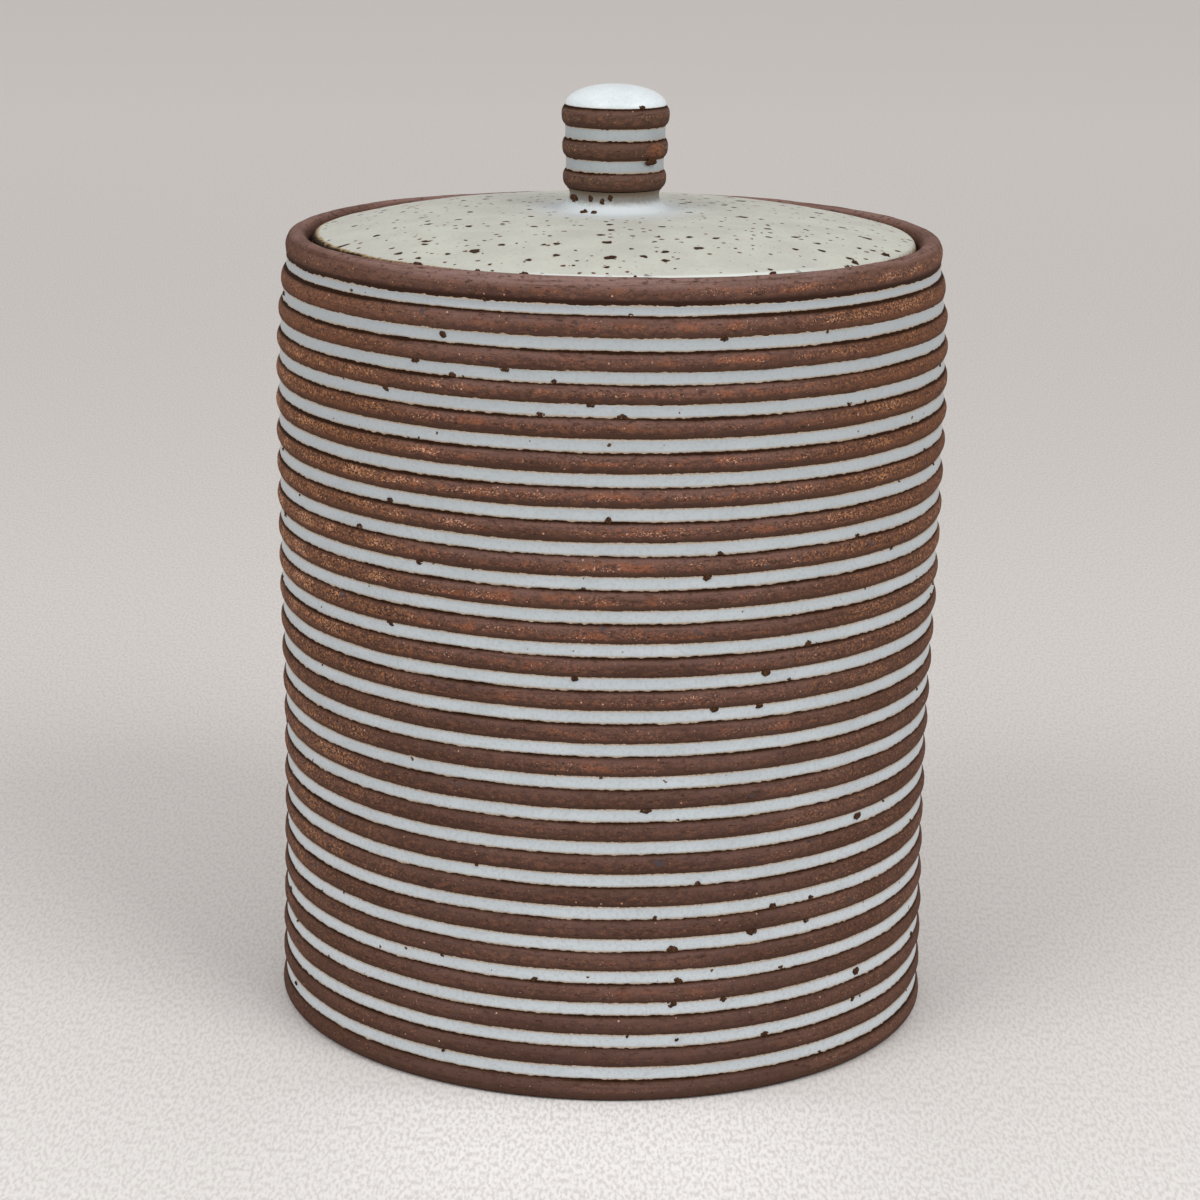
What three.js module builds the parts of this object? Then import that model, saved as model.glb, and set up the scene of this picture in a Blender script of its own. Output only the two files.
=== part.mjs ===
// A stoneware storage jar: a beaded wall with white glaze in its grooves, and a lift-off lid with a beaded knob.
// Millimetres, +Z up, with the origin at the middle of the foot.

import * as THREE from 'three';

// Overall sizes
const JAR_HEIGHT = 220.4; // table to the top of the rim
const BODY_RADIUS = 92.7; // bead crests at the foot

// Outline of the wall: how far the crests stand in or out of the body radius
const WAIST_IN = 0.8;
const WAIST_HEIGHT = 72;
const BELLY_OUT = 0.75;
const BELLY_BELOW_RIM = 72;
const SHOULDER_OUT = 0.1;
const SHOULDER_BELOW_RIM = 19;
const RIM_IN = 1.9;

// Wall, floor and foot
const WALL = 8.6; // bead crest to the inside at the foot
const FLOOR = 9;
const FLOOR_ROUND = 12;
const FOOT_RING = 12;
const FOOT_RECESS = 1.5;
const FOOT_ROUND = 1.6;

// Rim, and the ledge inside it that carries the lid
const RIM_WALL = 6.6;
const RIM_ROUND = 4;
const SEAT_DEPTH = 7.6; // top of the rim down to the ledge
const LEDGE_WIDTH = 8.2;
const LEDGE_THICKNESS = 4.5;
const LEDGE_FLARE = 9; // height over which the ledge's underside runs back to the wall

// Glaze bands of the wall
const BAND_COUNT = 24;
const LOWEST_BAND = 8.2; // middle of the lowest band above the table
const TOP_BAND = 8.3; // middle of the top band below the rim
const CLOSE_STEPS = 3; // steps under the rim that are closer than the rest
const CLOSER_BY = 0.6;
const WALL_GROOVE = { mouth: 5.4, depth: 3, shoulder: 0.4, glaze: 1.25 };

// Lid
const LID_CLEARANCE = 0.8;
const LID_EDGE = 6.5;
const LID_EDGE_ROUND = 2;
const LID_RISE = 6.9;
const LID_FULLNESS = 2.8; // power of the dome's curve: 2 is an even arc, more is flatter with a steeper edge
const LID_HOLLOW = 6;
const LID_SEAT_RING = 9.5;

// Knob, which is turned apart and set on the lid
const KNOB_HEIGHT = 34; // top of the dome to the top of the cap
const KNOB_RADIUS = 14.95;
const KNOB_TAPER = 0.035; // loss of crest radius per millimetre down from the cap
const CAP_HEIGHT = 5.5;
const CAP_RADIUS = 13.9;
const CAP_TO_GROOVE = 7.15;
const KNOB_PITCH = 8.65;
const GROOVE_TO_NECK = 6.6;
const NECK_RADIUS = 12.6;
const NECK_FILLET = 4;
const NECK_FLARE = 0.6; // widening of the neck's glaze under the lowest bead
const KNOB_GROOVE = { mouth: 3.3, depth: 2.4, shoulder: 0.35, glaze: 1.1 };

// Coats and fits
const COAT = 0.7; // glaze on an open surface
const FIT_GAP = 0.3; // between pieces that touch

// Facets: sides round the axis, a multiple of four so that the extents are true, and steps along curves
const SIDES = 28;
const CURVE_STEPS = 3;
const DOME_STEPS = 4;
const ROUND_STEPS = 2; // on a small rounded edge

// Levels and radii that several pieces share
const RIM_RADIUS = BODY_RADIUS - RIM_IN;
const RIM_LEVEL = JAR_HEIGHT - RIM_ROUND; // widest part of the rim
const RECESS_RADIUS = RIM_RADIUS - RIM_WALL;
const THROAT_RADIUS = RECESS_RADIUS - LEDGE_WIDTH;
const LEDGE_LEVEL = JAR_HEIGHT - SEAT_DEPTH;
const INNER_RADIUS = BODY_RADIUS - WALL;
const WALL_TOP = LEDGE_LEVEL - LEDGE_THICKNESS - LEDGE_FLARE; // top of the straight inside wall
const BURIED = COAT + FIT_GAP; // depth of the clay below a glazed surface
const LID_RADIUS = RECESS_RADIUS - LID_CLEARANCE;
const LID_SEAT = LEDGE_LEVEL + FIT_GAP;
const LID_TOP_EDGE = LID_SEAT + LID_EDGE;
const DOME_RADIUS = LID_RADIUS - LID_EDGE_ROUND;
const LID_LAP = LID_TOP_EDGE - LID_EDGE_ROUND; // lower end of the glaze on the lid's edge
const HOLLOW_RADIUS = LID_RADIUS - LID_SEAT_RING;
const FILLET_RADIUS = NECK_RADIUS + NECK_FILLET; // radius where the neck's fillet meets the dome
const KNOB_FOOT = domeHeight(FILLET_RADIUS);
const FILLET_MIDDLE = [FILLET_RADIUS, KNOB_FOOT + NECK_FILLET];
const CAP_LEVEL = KNOB_FOOT + KNOB_HEIGHT - CAP_HEIGHT;
const KNOB_GROOVES = [CAP_LEVEL - CAP_TO_GROOVE, CAP_LEVEL - CAP_TO_GROOVE - KNOB_PITCH];
const NECK_TOP = KNOB_GROOVES[1] - GROOVE_TO_NECK;

// Finishes
const STONEWARE = { color: '#5c4339', roughness: 0.9, metalness: 0 };
const BAND_GLAZE = { color: '#b6bbbd', roughness: 0.4, metalness: 0 };
const LID_GLAZE = { color: '#c8cbc5', roughness: 0.45, metalness: 0 };
const LINER_GLAZE = { color: '#d3d3cc', roughness: 0.35, metalness: 0 };

// Turns an outline of [radius, height] points about the vertical axis. The outline runs outwards below, up and back in.
function turned(name, outline, finish) {
  const points = outline.map(([radius, height]) => new THREE.Vector2(radius, height));
  const geometry = new THREE.LatheGeometry(points, SIDES).rotateX(Math.PI / 2);
  const mesh = new THREE.Mesh(geometry, new THREE.MeshStandardMaterial(finish));
  mesh.name = name;
  return mesh;
}

// Points along part of an ellipse, with angles in degrees from straight out towards straight up
function arc([radius, height], across, up, from, to, steps = CURVE_STEPS) {
  return Array.from({ length: steps + 1 }, (_, step) => {
    const angle = THREE.MathUtils.degToRad(THREE.MathUtils.lerp(from, to, step / steps));
    return [radius + across * Math.cos(angle), height + up * Math.sin(angle)];
  });
}

// Glazed height of the lid's dome at a radius
function domeHeight(radius) {
  return LID_TOP_EDGE + LID_RISE * (1 - (radius / DOME_RADIUS) ** LID_FULLNESS);
}

// Points along the dome from the knob's fillet out to the rounded edge, sunk by a depth below the glaze
function domeOutline(depth) {
  return Array.from({ length: DOME_STEPS }, (_, step) => {
    const radius = THREE.MathUtils.lerp(FILLET_RADIUS, DOME_RADIUS, (step + 1) / DOME_STEPS);
    return [radius, domeHeight(radius) - depth];
  });
}

// Points along the hollow under the lid from the axis out to its edge, sunk by a depth out of the clay
function hollowOutline(depth) {
  return Array.from({ length: CURVE_STEPS }, (_, step) => {
    const share = step / CURVE_STEPS;
    return [HOLLOW_RADIUS * share, LID_SEAT + LID_HOLLOW * (1 - share ** LID_FULLNESS) - depth];
  });
}

// A groove of V section: its two shoulders and its bottom, on a wall whose crests follow a given line
function groove(height, { mouth, depth, shoulder }, crest) {
  const lower = height - mouth / 2;
  const upper = height + mouth / 2;
  return {
    lower: [crest(lower) - shoulder, lower],
    bottom: [crest(height) - depth, height],
    upper: [crest(upper) - shoulder, upper],
  };
}

// The glaze in a groove: a ring of triangular section, a fit gap off both of the groove's walls
function grooveGlaze({ lower, bottom, upper }, { depth, glaze }) {
  const face = depth - glaze;
  const wall = (shoulder) => {
    const out = shoulder[0] - bottom[0];
    const along = shoulder[1] - bottom[1];
    const gap = -Math.sign(along) * FIT_GAP * Math.hypot(out, along) / out;
    return { gap, at: (distance) => bottom[1] + along / out * distance + gap, slope: along / out };
  };
  const below = wall(lower);
  const above = wall(upper);
  const tip = (below.gap - above.gap) / (above.slope - below.slope);
  const inmost = [bottom[0] + tip, below.at(tip)];
  return [inmost, [bottom[0] + face, below.at(face)], [bottom[0] + face, above.at(face)], inmost];
}

// Crest radius of the jar's beads at a height, smooth through the foot, waist, belly, shoulder and rim
const wallLine = new THREE.CubicInterpolant(
  [0, WAIST_HEIGHT, JAR_HEIGHT - BELLY_BELOW_RIM, JAR_HEIGHT - SHOULDER_BELOW_RIM, RIM_LEVEL],
  [0, -WAIST_IN, BELLY_OUT, SHOULDER_OUT, -RIM_IN].map((offset) => BODY_RADIUS + offset),
  1,
);
const wallCrest = (height) => wallLine.evaluate(height)[0];

// Crest radius of the knob's beads at a height
const knobCrest = (height) => KNOB_RADIUS - KNOB_TAPER * (CAP_LEVEL - height);

// Heights of the wall's glaze bands, evenly spaced but for the closer steps under the rim
function bandHeights() {
  const steps = BAND_COUNT - 1;
  const span = JAR_HEIGHT - TOP_BAND - LOWEST_BAND;
  const pitch = (span + CLOSE_STEPS * CLOSER_BY) / steps;
  return Array.from({ length: BAND_COUNT }, (_, index) => {
    const closer = Math.max(0, index - (steps - CLOSE_STEPS));
    return LOWEST_BAND + pitch * index - CLOSER_BY * closer;
  });
}

const bands = bandHeights();
const wallGrooves = bands.map((height) => groove(height, WALL_GROOVE, wallCrest));

// The jar's clay: foot, beaded wall, rolled rim, ledge, inside wall and floor
function jarBody() {
  const foot = wallCrest(0);
  const beads = wallGrooves.flatMap(({ lower, bottom, upper }, index) => {
    const points = [lower, bottom, upper];
    if (index < BAND_COUNT - 1) {
      const middle = (bands[index] + bands[index + 1]) / 2;
      points.push([wallCrest(middle), middle]);
    }
    return points;
  });
  return turned('jar_body', [
    [0, FOOT_RECESS],
    [foot - FOOT_RING - FOOT_RECESS, FOOT_RECESS],
    [foot - FOOT_RING, 0],
    ...arc([foot - FOOT_ROUND, FOOT_ROUND], FOOT_ROUND, FOOT_ROUND, -90, 0, ROUND_STEPS),
    ...beads,
    ...arc([RIM_RADIUS - RIM_WALL / 2, RIM_LEVEL], RIM_WALL / 2, RIM_ROUND, 0, 180, 2 * CURVE_STEPS),
    [RECESS_RADIUS, LEDGE_LEVEL],
    [THROAT_RADIUS, LEDGE_LEVEL],
    [THROAT_RADIUS, LEDGE_LEVEL - LEDGE_THICKNESS],
    [INNER_RADIUS, WALL_TOP],
    ...arc([INNER_RADIUS - FLOOR_ROUND, FLOOR + FLOOR_ROUND], FLOOR_ROUND, FLOOR_ROUND, 0, -90),
    [0, FLOOR],
  ], STONEWARE);
}

// The rings of glaze in the wall's grooves, counted from the foot up
function glazeBands() {
  return wallGrooves.map((section, index) => {
    const name = `glaze_band_${String(index + 1).padStart(2, '0')}`;
    return turned(name, grooveGlaze(section, WALL_GROOVE), BAND_GLAZE);
  });
}

// The coat of glaze on the floor and the inside wall, up to the ledge's underside, which stays bare
function linerGlaze() {
  const corner = [INNER_RADIUS - FLOOR_ROUND, FLOOR + FLOOR_ROUND];
  const outer = FLOOR_ROUND - FIT_GAP;
  const inner = FLOOR_ROUND - BURIED;
  return turned('liner_glaze', [
    [0, FLOOR + FIT_GAP],
    ...arc(corner, outer, outer, -90, 0),
    [INNER_RADIUS - FIT_GAP, WALL_TOP],
    [INNER_RADIUS - BURIED, WALL_TOP],
    ...arc(corner, inner, inner, 0, -90),
    [0, FLOOR + BURIED],
  ], LINER_GLAZE);
}

// The lid's clay: a hollow underneath inside a flat seat, a bare edge, and a bed for the glaze on top
function lidPlate() {
  return turned('lid_plate', [
    ...hollowOutline(0),
    [HOLLOW_RADIUS, LID_SEAT],
    [LID_RADIUS - LID_EDGE_ROUND, LID_SEAT],
    [LID_RADIUS, LID_SEAT + LID_EDGE_ROUND],
    [LID_RADIUS, LID_LAP - FIT_GAP],
    [LID_RADIUS - BURIED, LID_LAP - FIT_GAP],
    ...domeOutline(BURIED).reverse(),
    [FILLET_RADIUS, KNOB_FOOT - BURIED],
    [0, KNOB_FOOT - BURIED],
  ], STONEWARE);
}

// The glaze on the lid, in one coat from the rounded edge over the dome and the fillet to the top of the knob's neck
function lidGlaze() {
  const edge = arc([DOME_RADIUS, LID_LAP], LID_EDGE_ROUND, LID_EDGE_ROUND, 0, 90, ROUND_STEPS);
  const level = NECK_TOP - FIT_GAP;
  const under = NECK_FILLET + COAT;
  const inmost = [NECK_RADIUS - COAT, level];
  return turned('lid_glaze', [
    inmost,
    ...arc(FILLET_MIDDLE, under, under, 180, 270),
    ...domeOutline(COAT),
    [LID_RADIUS - COAT, LID_LAP],
    ...edge.slice(0, -1), // the arc's last point is the dome's first
    ...domeOutline(0).reverse(),
    ...arc(FILLET_MIDDLE, NECK_FILLET, NECK_FILLET, 270, 180),
    [NECK_RADIUS + NECK_FLARE, level],
    inmost,
  ], LID_GLAZE);
}

// The coat of glaze in the hollow under the lid, stopping short of the flat seat
function lidUnderGlaze() {
  return turned('lid_under_glaze', [
    ...hollowOutline(BURIED),
    ...hollowOutline(FIT_GAP).reverse(),
  ], LINER_GLAZE);
}

// The knob's clay: a flat foot, a flared neck, three beads and a low dome under the cap
function knob() {
  const fillet = NECK_FILLET + BURIED;
  const footAngle = 180 + THREE.MathUtils.radToDeg(Math.asin((fillet - FIT_GAP) / fillet));
  const flare = arc(FILLET_MIDDLE, fillet, fillet, footAngle, 180);
  const [upper, lower] = KNOB_GROOVES.map((height) => groove(height, KNOB_GROOVE, knobCrest));
  const lowBead = (NECK_TOP + KNOB_GROOVES[1]) / 2;
  const midBead = (KNOB_GROOVES[0] + KNOB_GROOVES[1]) / 2;
  const topBead = (KNOB_GROOVES[0] + CAP_LEVEL) / 2;
  const land = CAP_LEVEL - FIT_GAP;
  return turned('knob', [
    [0, flare[0][1]],
    ...flare,
    [NECK_RADIUS - BURIED, NECK_TOP],
    [knobCrest(NECK_TOP) - KNOB_GROOVE.shoulder, NECK_TOP + KNOB_GROOVE.mouth / 2],
    [knobCrest(lowBead), lowBead],
    lower.lower,
    lower.bottom,
    lower.upper,
    [knobCrest(midBead), midBead],
    upper.lower,
    upper.bottom,
    upper.upper,
    [knobCrest(topBead), topBead],
    [CAP_RADIUS, land],
    [CAP_RADIUS - BURIED, land],
    ...arc([0, CAP_LEVEL], CAP_RADIUS - BURIED, CAP_HEIGHT - BURIED, 0, 90),
  ], STONEWARE);
}

// The rings of glaze between the knob's beads
function knobBands() {
  return ['upper', 'lower'].map((place, index) => {
    const section = groove(KNOB_GROOVES[index], KNOB_GROOVE, knobCrest);
    return turned(`knob_glaze_${place}`, grooveGlaze(section, KNOB_GROOVE), BAND_GLAZE);
  });
}

// The domed coat of glaze on top of the knob
function knobCapGlaze() {
  const middle = [0, CAP_LEVEL];
  return turned('knob_cap_glaze', [
    ...arc(middle, CAP_RADIUS - COAT, CAP_HEIGHT - COAT, 90, 0),
    ...arc(middle, CAP_RADIUS, CAP_HEIGHT, 0, 90),
  ], BAND_GLAZE);
}

const jar = new THREE.Group();
jar.add(jarBody(), linerGlaze(), ...glazeBands());

const lid = new THREE.Group();
lid.add(lidPlate(), lidGlaze(), lidUnderGlaze(), knob(), ...knobBands(), knobCapGlaze());

const group = new THREE.Group();
group.add(jar, lid);

export default group;
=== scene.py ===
"""A stoneware storage jar: a beaded wall with glaze in its grooves, and a lift-off lid with a beaded knob."""

import logging
import math
import random
from dataclasses import dataclass
from enum import Enum
from functools import partial, reduce
from typing import Callable, Union

import bpy
from mathutils import Matrix, Vector
from mathutils.kdtree import KDTree


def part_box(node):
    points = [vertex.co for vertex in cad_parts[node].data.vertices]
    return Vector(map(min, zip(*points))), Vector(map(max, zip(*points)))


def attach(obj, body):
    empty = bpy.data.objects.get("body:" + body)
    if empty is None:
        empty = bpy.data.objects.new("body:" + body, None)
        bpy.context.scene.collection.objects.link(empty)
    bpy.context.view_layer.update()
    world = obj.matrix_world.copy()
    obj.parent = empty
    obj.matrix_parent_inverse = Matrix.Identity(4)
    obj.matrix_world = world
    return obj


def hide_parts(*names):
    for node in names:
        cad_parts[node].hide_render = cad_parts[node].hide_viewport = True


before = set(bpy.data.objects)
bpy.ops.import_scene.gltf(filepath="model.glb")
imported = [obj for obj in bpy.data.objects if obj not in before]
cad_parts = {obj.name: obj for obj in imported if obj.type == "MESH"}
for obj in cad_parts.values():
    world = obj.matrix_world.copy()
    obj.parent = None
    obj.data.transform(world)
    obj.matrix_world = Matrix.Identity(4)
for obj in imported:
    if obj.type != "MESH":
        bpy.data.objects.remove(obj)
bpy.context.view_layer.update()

LOG = logging.getLogger("lidded_jar")
MM = 0.001               # sizes below are in millimetres, meshes are in metres
WELD = 0.002 * MM        # points closer than this are one point
SMOOTH_BELOW = 50        # degrees between faces that still shade as one surface
WALL_RADIUS = 93.0       # radius at which the wall's patterns are unrolled
KNOB_RADIUS = 14.8       # and those of the knob
KNOB_TO_WALL = (40.0, 50.0)      # radii between which the one gives way to the other
BEAD_PLACE = "bead_place"        # attribute: 0 at a bead's lower edge, 1 at its upper
BAND_PLACE = "band_place"        # attribute: -1 at a band's lower edge, 1 at its upper
PLAIN = 0.5                      # bead place of clay that isn't on a bead
EDGES = "edges"                  # vertex group of a glaze ring's two edges

Point = tuple[float, float]
Profile = list[tuple[Point, float]]        # outline points, each with its place
Range = tuple[float, float]              # a start and an end
Ridges = tuple[float, int]               # the depth of ridges and their number
Colour = tuple[int, int, int]
Piece = bpy.types.Object
Socket = bpy.types.NodeSocket
Value = Union[float, Socket]
Paint = Union[Colour, Socket]


class Body(Enum):
    """The two bodies of the frame."""

    JAR = "jar"
    LID = "lid"


class Slot(Enum):
    """The record's material slots."""

    STONEWARE = "bare_stoneware"
    BANDS = "band_glaze"
    LID = "lid_glaze"
    LINER = "liner_glaze"


class Edge(Enum):
    """The edge of a glaze band that a mark sits on, as a share of the band's half width."""

    LOWER = -0.85
    MIDDLE = 0.0
    UPPER = 0.85


LOWER, MIDDLE, UPPER = Edge


class Way(Enum):
    """The way in which an uneven surface strays."""

    OUT = "NORMAL"
    UP = "Z"


# Outlines, turning and uneven surfaces


def arc(centre: Point, across: float, up: float, start: float, end: float, steps: int) -> list[Point]:
    """Points along part of an ellipse.

    Args:
        centre: Radius and height of the ellipse's middle.
        across: Half width.
        up: Half height.
        start: First angle in degrees, from straight out towards straight up.
        end: Last angle in degrees.
        steps: Number of stretches.

    Returns:
        The points, both ends included.
    """
    turns = [math.radians(start + (end - start) * step / steps) for step in range(steps + 1)]
    return [(centre[0] + across * math.cos(turn), centre[1] + up * math.sin(turn)) for turn in turns]


def ripple(start: Point, end: Point, depth: float, count: int) -> list[Point]:
    """A line with the shallow ridges that fingers leave on a thrown surface.

    Args:
        start: First point.
        end: Last point.
        depth: Height of the ridges, to the left of the line's direction.
        count: Number of ridges.

    Returns:
        The points, four to a ridge, both ends included.
    """
    along = Vector(end) - Vector(start)
    aside = Vector((-along.y, along.x)).normalized() * depth
    points = []
    for step in range(4 * count + 1):
        lift = math.sin(math.pi * step / 4) ** 2
        points.append(tuple(Vector(start) + along * step / (4 * count) + aside * lift))
    return points


def choose(piece: Piece) -> None:
    """Makes a piece the active one, and the only one selected."""
    bpy.ops.object.select_all(action="DESELECT")
    bpy.context.view_layer.objects.active = piece
    piece.select_set(True)


def apply(piece: Piece, modifier: bpy.types.Modifier) -> None:
    """Applies a modifier to its piece."""
    choose(piece)
    bpy.ops.object.modifier_apply(modifier=modifier.name)


def turn(name: str, outline: list[Point], segments: int) -> Piece:
    """Turns an outline round the upright axis, as on a wheel.

    Args:
        name: Name of the piece.
        outline: Points of radius and height, from axis to axis or closed on themselves.
        segments: Faces round the axis.

    Returns:
        The turned piece, closed and smooth.
    """
    bpy.ops.object.select_all(action="DESELECT")
    bpy.ops.mesh.primitive_plane_add(size=MM)
    piece = bpy.context.object
    piece.name = name
    bpy.ops.object.mode_set(mode="EDIT")
    bpy.ops.mesh.select_all(action="SELECT")
    bpy.ops.mesh.merge(type="CENTER")
    bpy.ops.transform.translate(value=(outline[0][0] * MM, 0, outline[0][1] * MM))
    for here, there in zip(outline, outline[1:]):
        step = ((there[0] - here[0]) * MM, 0, (there[1] - here[1]) * MM)
        bpy.ops.mesh.extrude_region_move(TRANSFORM_OT_translate={"value": step})
    bpy.ops.mesh.select_all(action="SELECT")
    bpy.ops.mesh.spin(steps=segments, angle=math.tau, center=(0, 0, 0), axis=(0, 0, 1))
    bpy.ops.mesh.select_all(action="SELECT")
    bpy.ops.mesh.remove_doubles(threshold=WELD)
    bpy.ops.mesh.normals_make_consistent(inside=False)
    bpy.ops.object.mode_set(mode="OBJECT")
    bpy.ops.object.shade_smooth_by_angle(angle=math.radians(SMOOTH_BELOW))
    return piece


def turn_marked(name: str, marks: Profile, segments: int, attribute: str) -> Piece:
    """Turns an outline, and stores on each point of the piece the place of the outline point it came from.

    Args:
        name: Name of the piece.
        marks: The outline's points, each with its place.
        segments: Faces round the axis.
        attribute: Name of the attribute that takes the places.

    Returns:
        The turned piece, closed and smooth.
    """
    outline = [point for point, _ in marks]
    piece = turn(name, outline, segments)
    tree = KDTree(len(outline))
    for index, (radius, height) in enumerate(outline):
        tree.insert((radius * MM, 0, height * MM), index)
    tree.balance()
    places = piece.data.attributes.new(attribute, "FLOAT", "POINT")
    for vertex in piece.data.vertices:
        radius = math.hypot(vertex.co.x, vertex.co.y)
        _, nearest, _ = tree.find((radius, 0, vertex.co.z))
        places.data[vertex.index].value = marks[nearest][1]
    return piece


def weigh(piece: Piece, name: str, values: list[float], rising: Range) -> None:
    """Makes a vertex group whose weights rise from 0 to 1 with a value.

    Args:
        piece: The piece.
        name: Name of the group.
        values: One value for each point of the piece.
        rising: The values of weight 0 and of weight 1.
    """
    low, high = rising
    group = piece.vertex_groups.new(name=name)
    for index, value in enumerate(values):
        weight = (value - low) / (high - low)
        group.add([index], min(1.0, max(0.0, weight)), "REPLACE")


def weigh_edges(ring: Piece, start: float) -> None:
    """Makes the vertex group of a glaze ring's edges, from a place outwards."""
    places = ring.data.attributes[BAND_PLACE].data
    weigh(ring, EDGES, [abs(place.value) for place in places], (start, 1.0))


@dataclass(frozen=True)
class Unevenness:
    """How far a hand-made surface strays from the true form.

    Attributes:
        name: Name of the noise.
        grain: Size of its lumps.
        height: From the lowest to the highest.
        way: Out of the surface, or up and down.
        level: Share of the height that lies inwards or below: 1 keeps the surface inside the true form.
    """

    name: str
    grain: float
    height: float
    way: Way = Way.OUT
    level: float = 0.5

    def apply_to(self, piece: Piece, group: str = "") -> None:
        """Displaces a piece.

        Args:
            piece: The piece, at its place.
            group: Vertex group that is moved, or nothing for the whole piece.
        """
        texture = bpy.data.textures.get(self.name)
        if texture is None:
            texture = bpy.data.textures.new(self.name, "CLOUDS")
            texture.noise_scale = self.grain * MM
            texture.noise_depth = 1
        modifier = piece.modifiers.new(self.name, "DISPLACE")
        modifier.texture = texture
        modifier.texture_coords = "LOCAL"
        modifier.direction = self.way.value
        modifier.strength = self.height * MM
        modifier.mid_level = self.level
        modifier.vertex_group = group
        apply(piece, modifier)


WANDER = Unevenness("wander of the bands", grain=46, height=0.6, way=Way.UP)
LUMPS = Unevenness("lumps of the clay", grain=9, height=0.3, level=1.0)
WIDTHS = Unevenness("widths of the bands", grain=11, height=0.5, way=Way.UP)
RAGS = Unevenness("ragged glaze edge", grain=1.5, height=0.9, way=Way.UP)
POOLS = Unevenness("pools of glaze", grain=16, height=0.25, level=1.0)
GRIT = Unevenness("grit of a burst", grain=0.7, height=1.0)


# Finishes


def ink(colour: Colour) -> tuple[float, float, float, float]:
    """Turns a colour as seen on a screen into the linear colour that shaders take."""
    shares = [part / 255 for part in colour]
    linear = [part / 12.92 if part <= 0.04045 else ((part + 0.055) / 1.055) ** 2.4 for part in shares]
    return (*linear, 1.0)


class Graph:
    """Wires the nodes of a material or a node group."""

    def __init__(self, tree: bpy.types.NodeTree) -> None:
        """Takes the tree to wire."""
        self.tree = tree

    def node(self, kind: str, **settings: object) -> bpy.types.Node:
        """Adds a node and sets its options."""
        made = self.tree.nodes.new(kind)
        for key, value in settings.items():
            setattr(made, key, value)
        return made

    def feed(self, socket: Socket, value: object) -> None:
        """Links a socket into an input, or sets the input's value."""
        if isinstance(value, Socket):
            self.tree.links.new(value, socket)
        else:
            socket.default_value = value

    def math(self, operation: str, first: Value, second: Value = 0.0) -> Socket:
        """Works out one number from two."""
        made = self.node("ShaderNodeMath", operation=operation)
        self.feed(made.inputs[0], first)
        self.feed(made.inputs[1], second)
        return made.outputs[0]

    def product(self, *values: Value) -> Socket:
        """Multiplies any number of values."""
        return reduce(partial(self.math, "MULTIPLY"), values)

    def total(self, *values: Value) -> Socket:
        """Adds up any number of values."""
        return reduce(partial(self.math, "ADD"), values)

    def span(self, value: Value, low: Value, high: Value, start: Value = 0.0, end: Value = 1.0) -> Socket:
        """Eases from start to end as a value goes from low to high."""
        made = self.node("ShaderNodeMapRange", interpolation_type="SMOOTHSTEP")
        for socket, part in zip(made.inputs, (value, low, high, start, end)):
            self.feed(socket, part)
        return made.outputs[0]

    def ease(self, share: Value, start: Value, end: Value) -> Socket:
        """Eases from start to end as a share goes from 0 to 1."""
        return self.span(share, 0.0, 1.0, start, end)

    def blend(self, share: Value, low: Paint, high: Paint) -> Socket:
        """Mixes two colours: all low at share 0, all high at 1."""
        made = self.node("ShaderNodeMix", data_type="RGBA")
        self.feed(made.inputs[0], share)
        for socket, colour in ((made.inputs[6], low), (made.inputs[7], high)):
            self.feed(socket, ink(colour) if isinstance(colour, tuple) else colour)
        return made.outputs[2]

    def layers(self, colour: Paint, *coats: tuple[Value, Paint]) -> Socket:
        """Lays coats over a colour.

        Args:
            colour: The colour underneath.
            coats: The share and the colour of each coat, from the lowest up.

        Returns:
            The colour on top.
        """
        for share, coat in coats:
            colour = self.blend(share, colour, coat)
        return colour

    def vector(self, operation: str, first: Socket, second: object) -> Socket:
        """Works out one vector from two, or the distance between them."""
        made = self.node("ShaderNodeVectorMath", operation=operation)
        self.feed(made.inputs[0], first)
        self.feed(made.inputs[1], second)
        return made.outputs["Value" if operation == "DISTANCE" else "Vector"]

    def stretch(self, place: Socket, along: float) -> Socket:
        """Lengthens a pattern round the jar, and leaves its height."""
        return self.vector("MULTIPLY", place, (1 / along, 1 / along, 1))

    def pattern(self, kind: str, place: Socket, scale: Value, **values: float) -> bpy.types.Node:
        """Adds a noise or cell pattern and feeds its inputs by name."""
        made = self.node(kind)
        for key, value in {"Vector": place, "Scale": scale, **values}.items():
            self.feed(made.inputs[key], value)
        return made

    def noise(self, place: Socket, size: float, detail: float) -> Socket:
        """Soft noise with lumps of a size in millimetres, about 0.5 in the middle."""
        return self.pattern("ShaderNodeTexNoise", place, 1 / (size * MM), Detail=detail).outputs[0]

    def use(self, group: bpy.types.NodeTree, **values: Value) -> bpy.types.Node:
        """Places a node group and feeds its inputs by name."""
        made = self.node("ShaderNodeGroup", node_tree=group)
        for key, value in values.items():
            self.feed(made.inputs[key], value)
        return made


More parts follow.
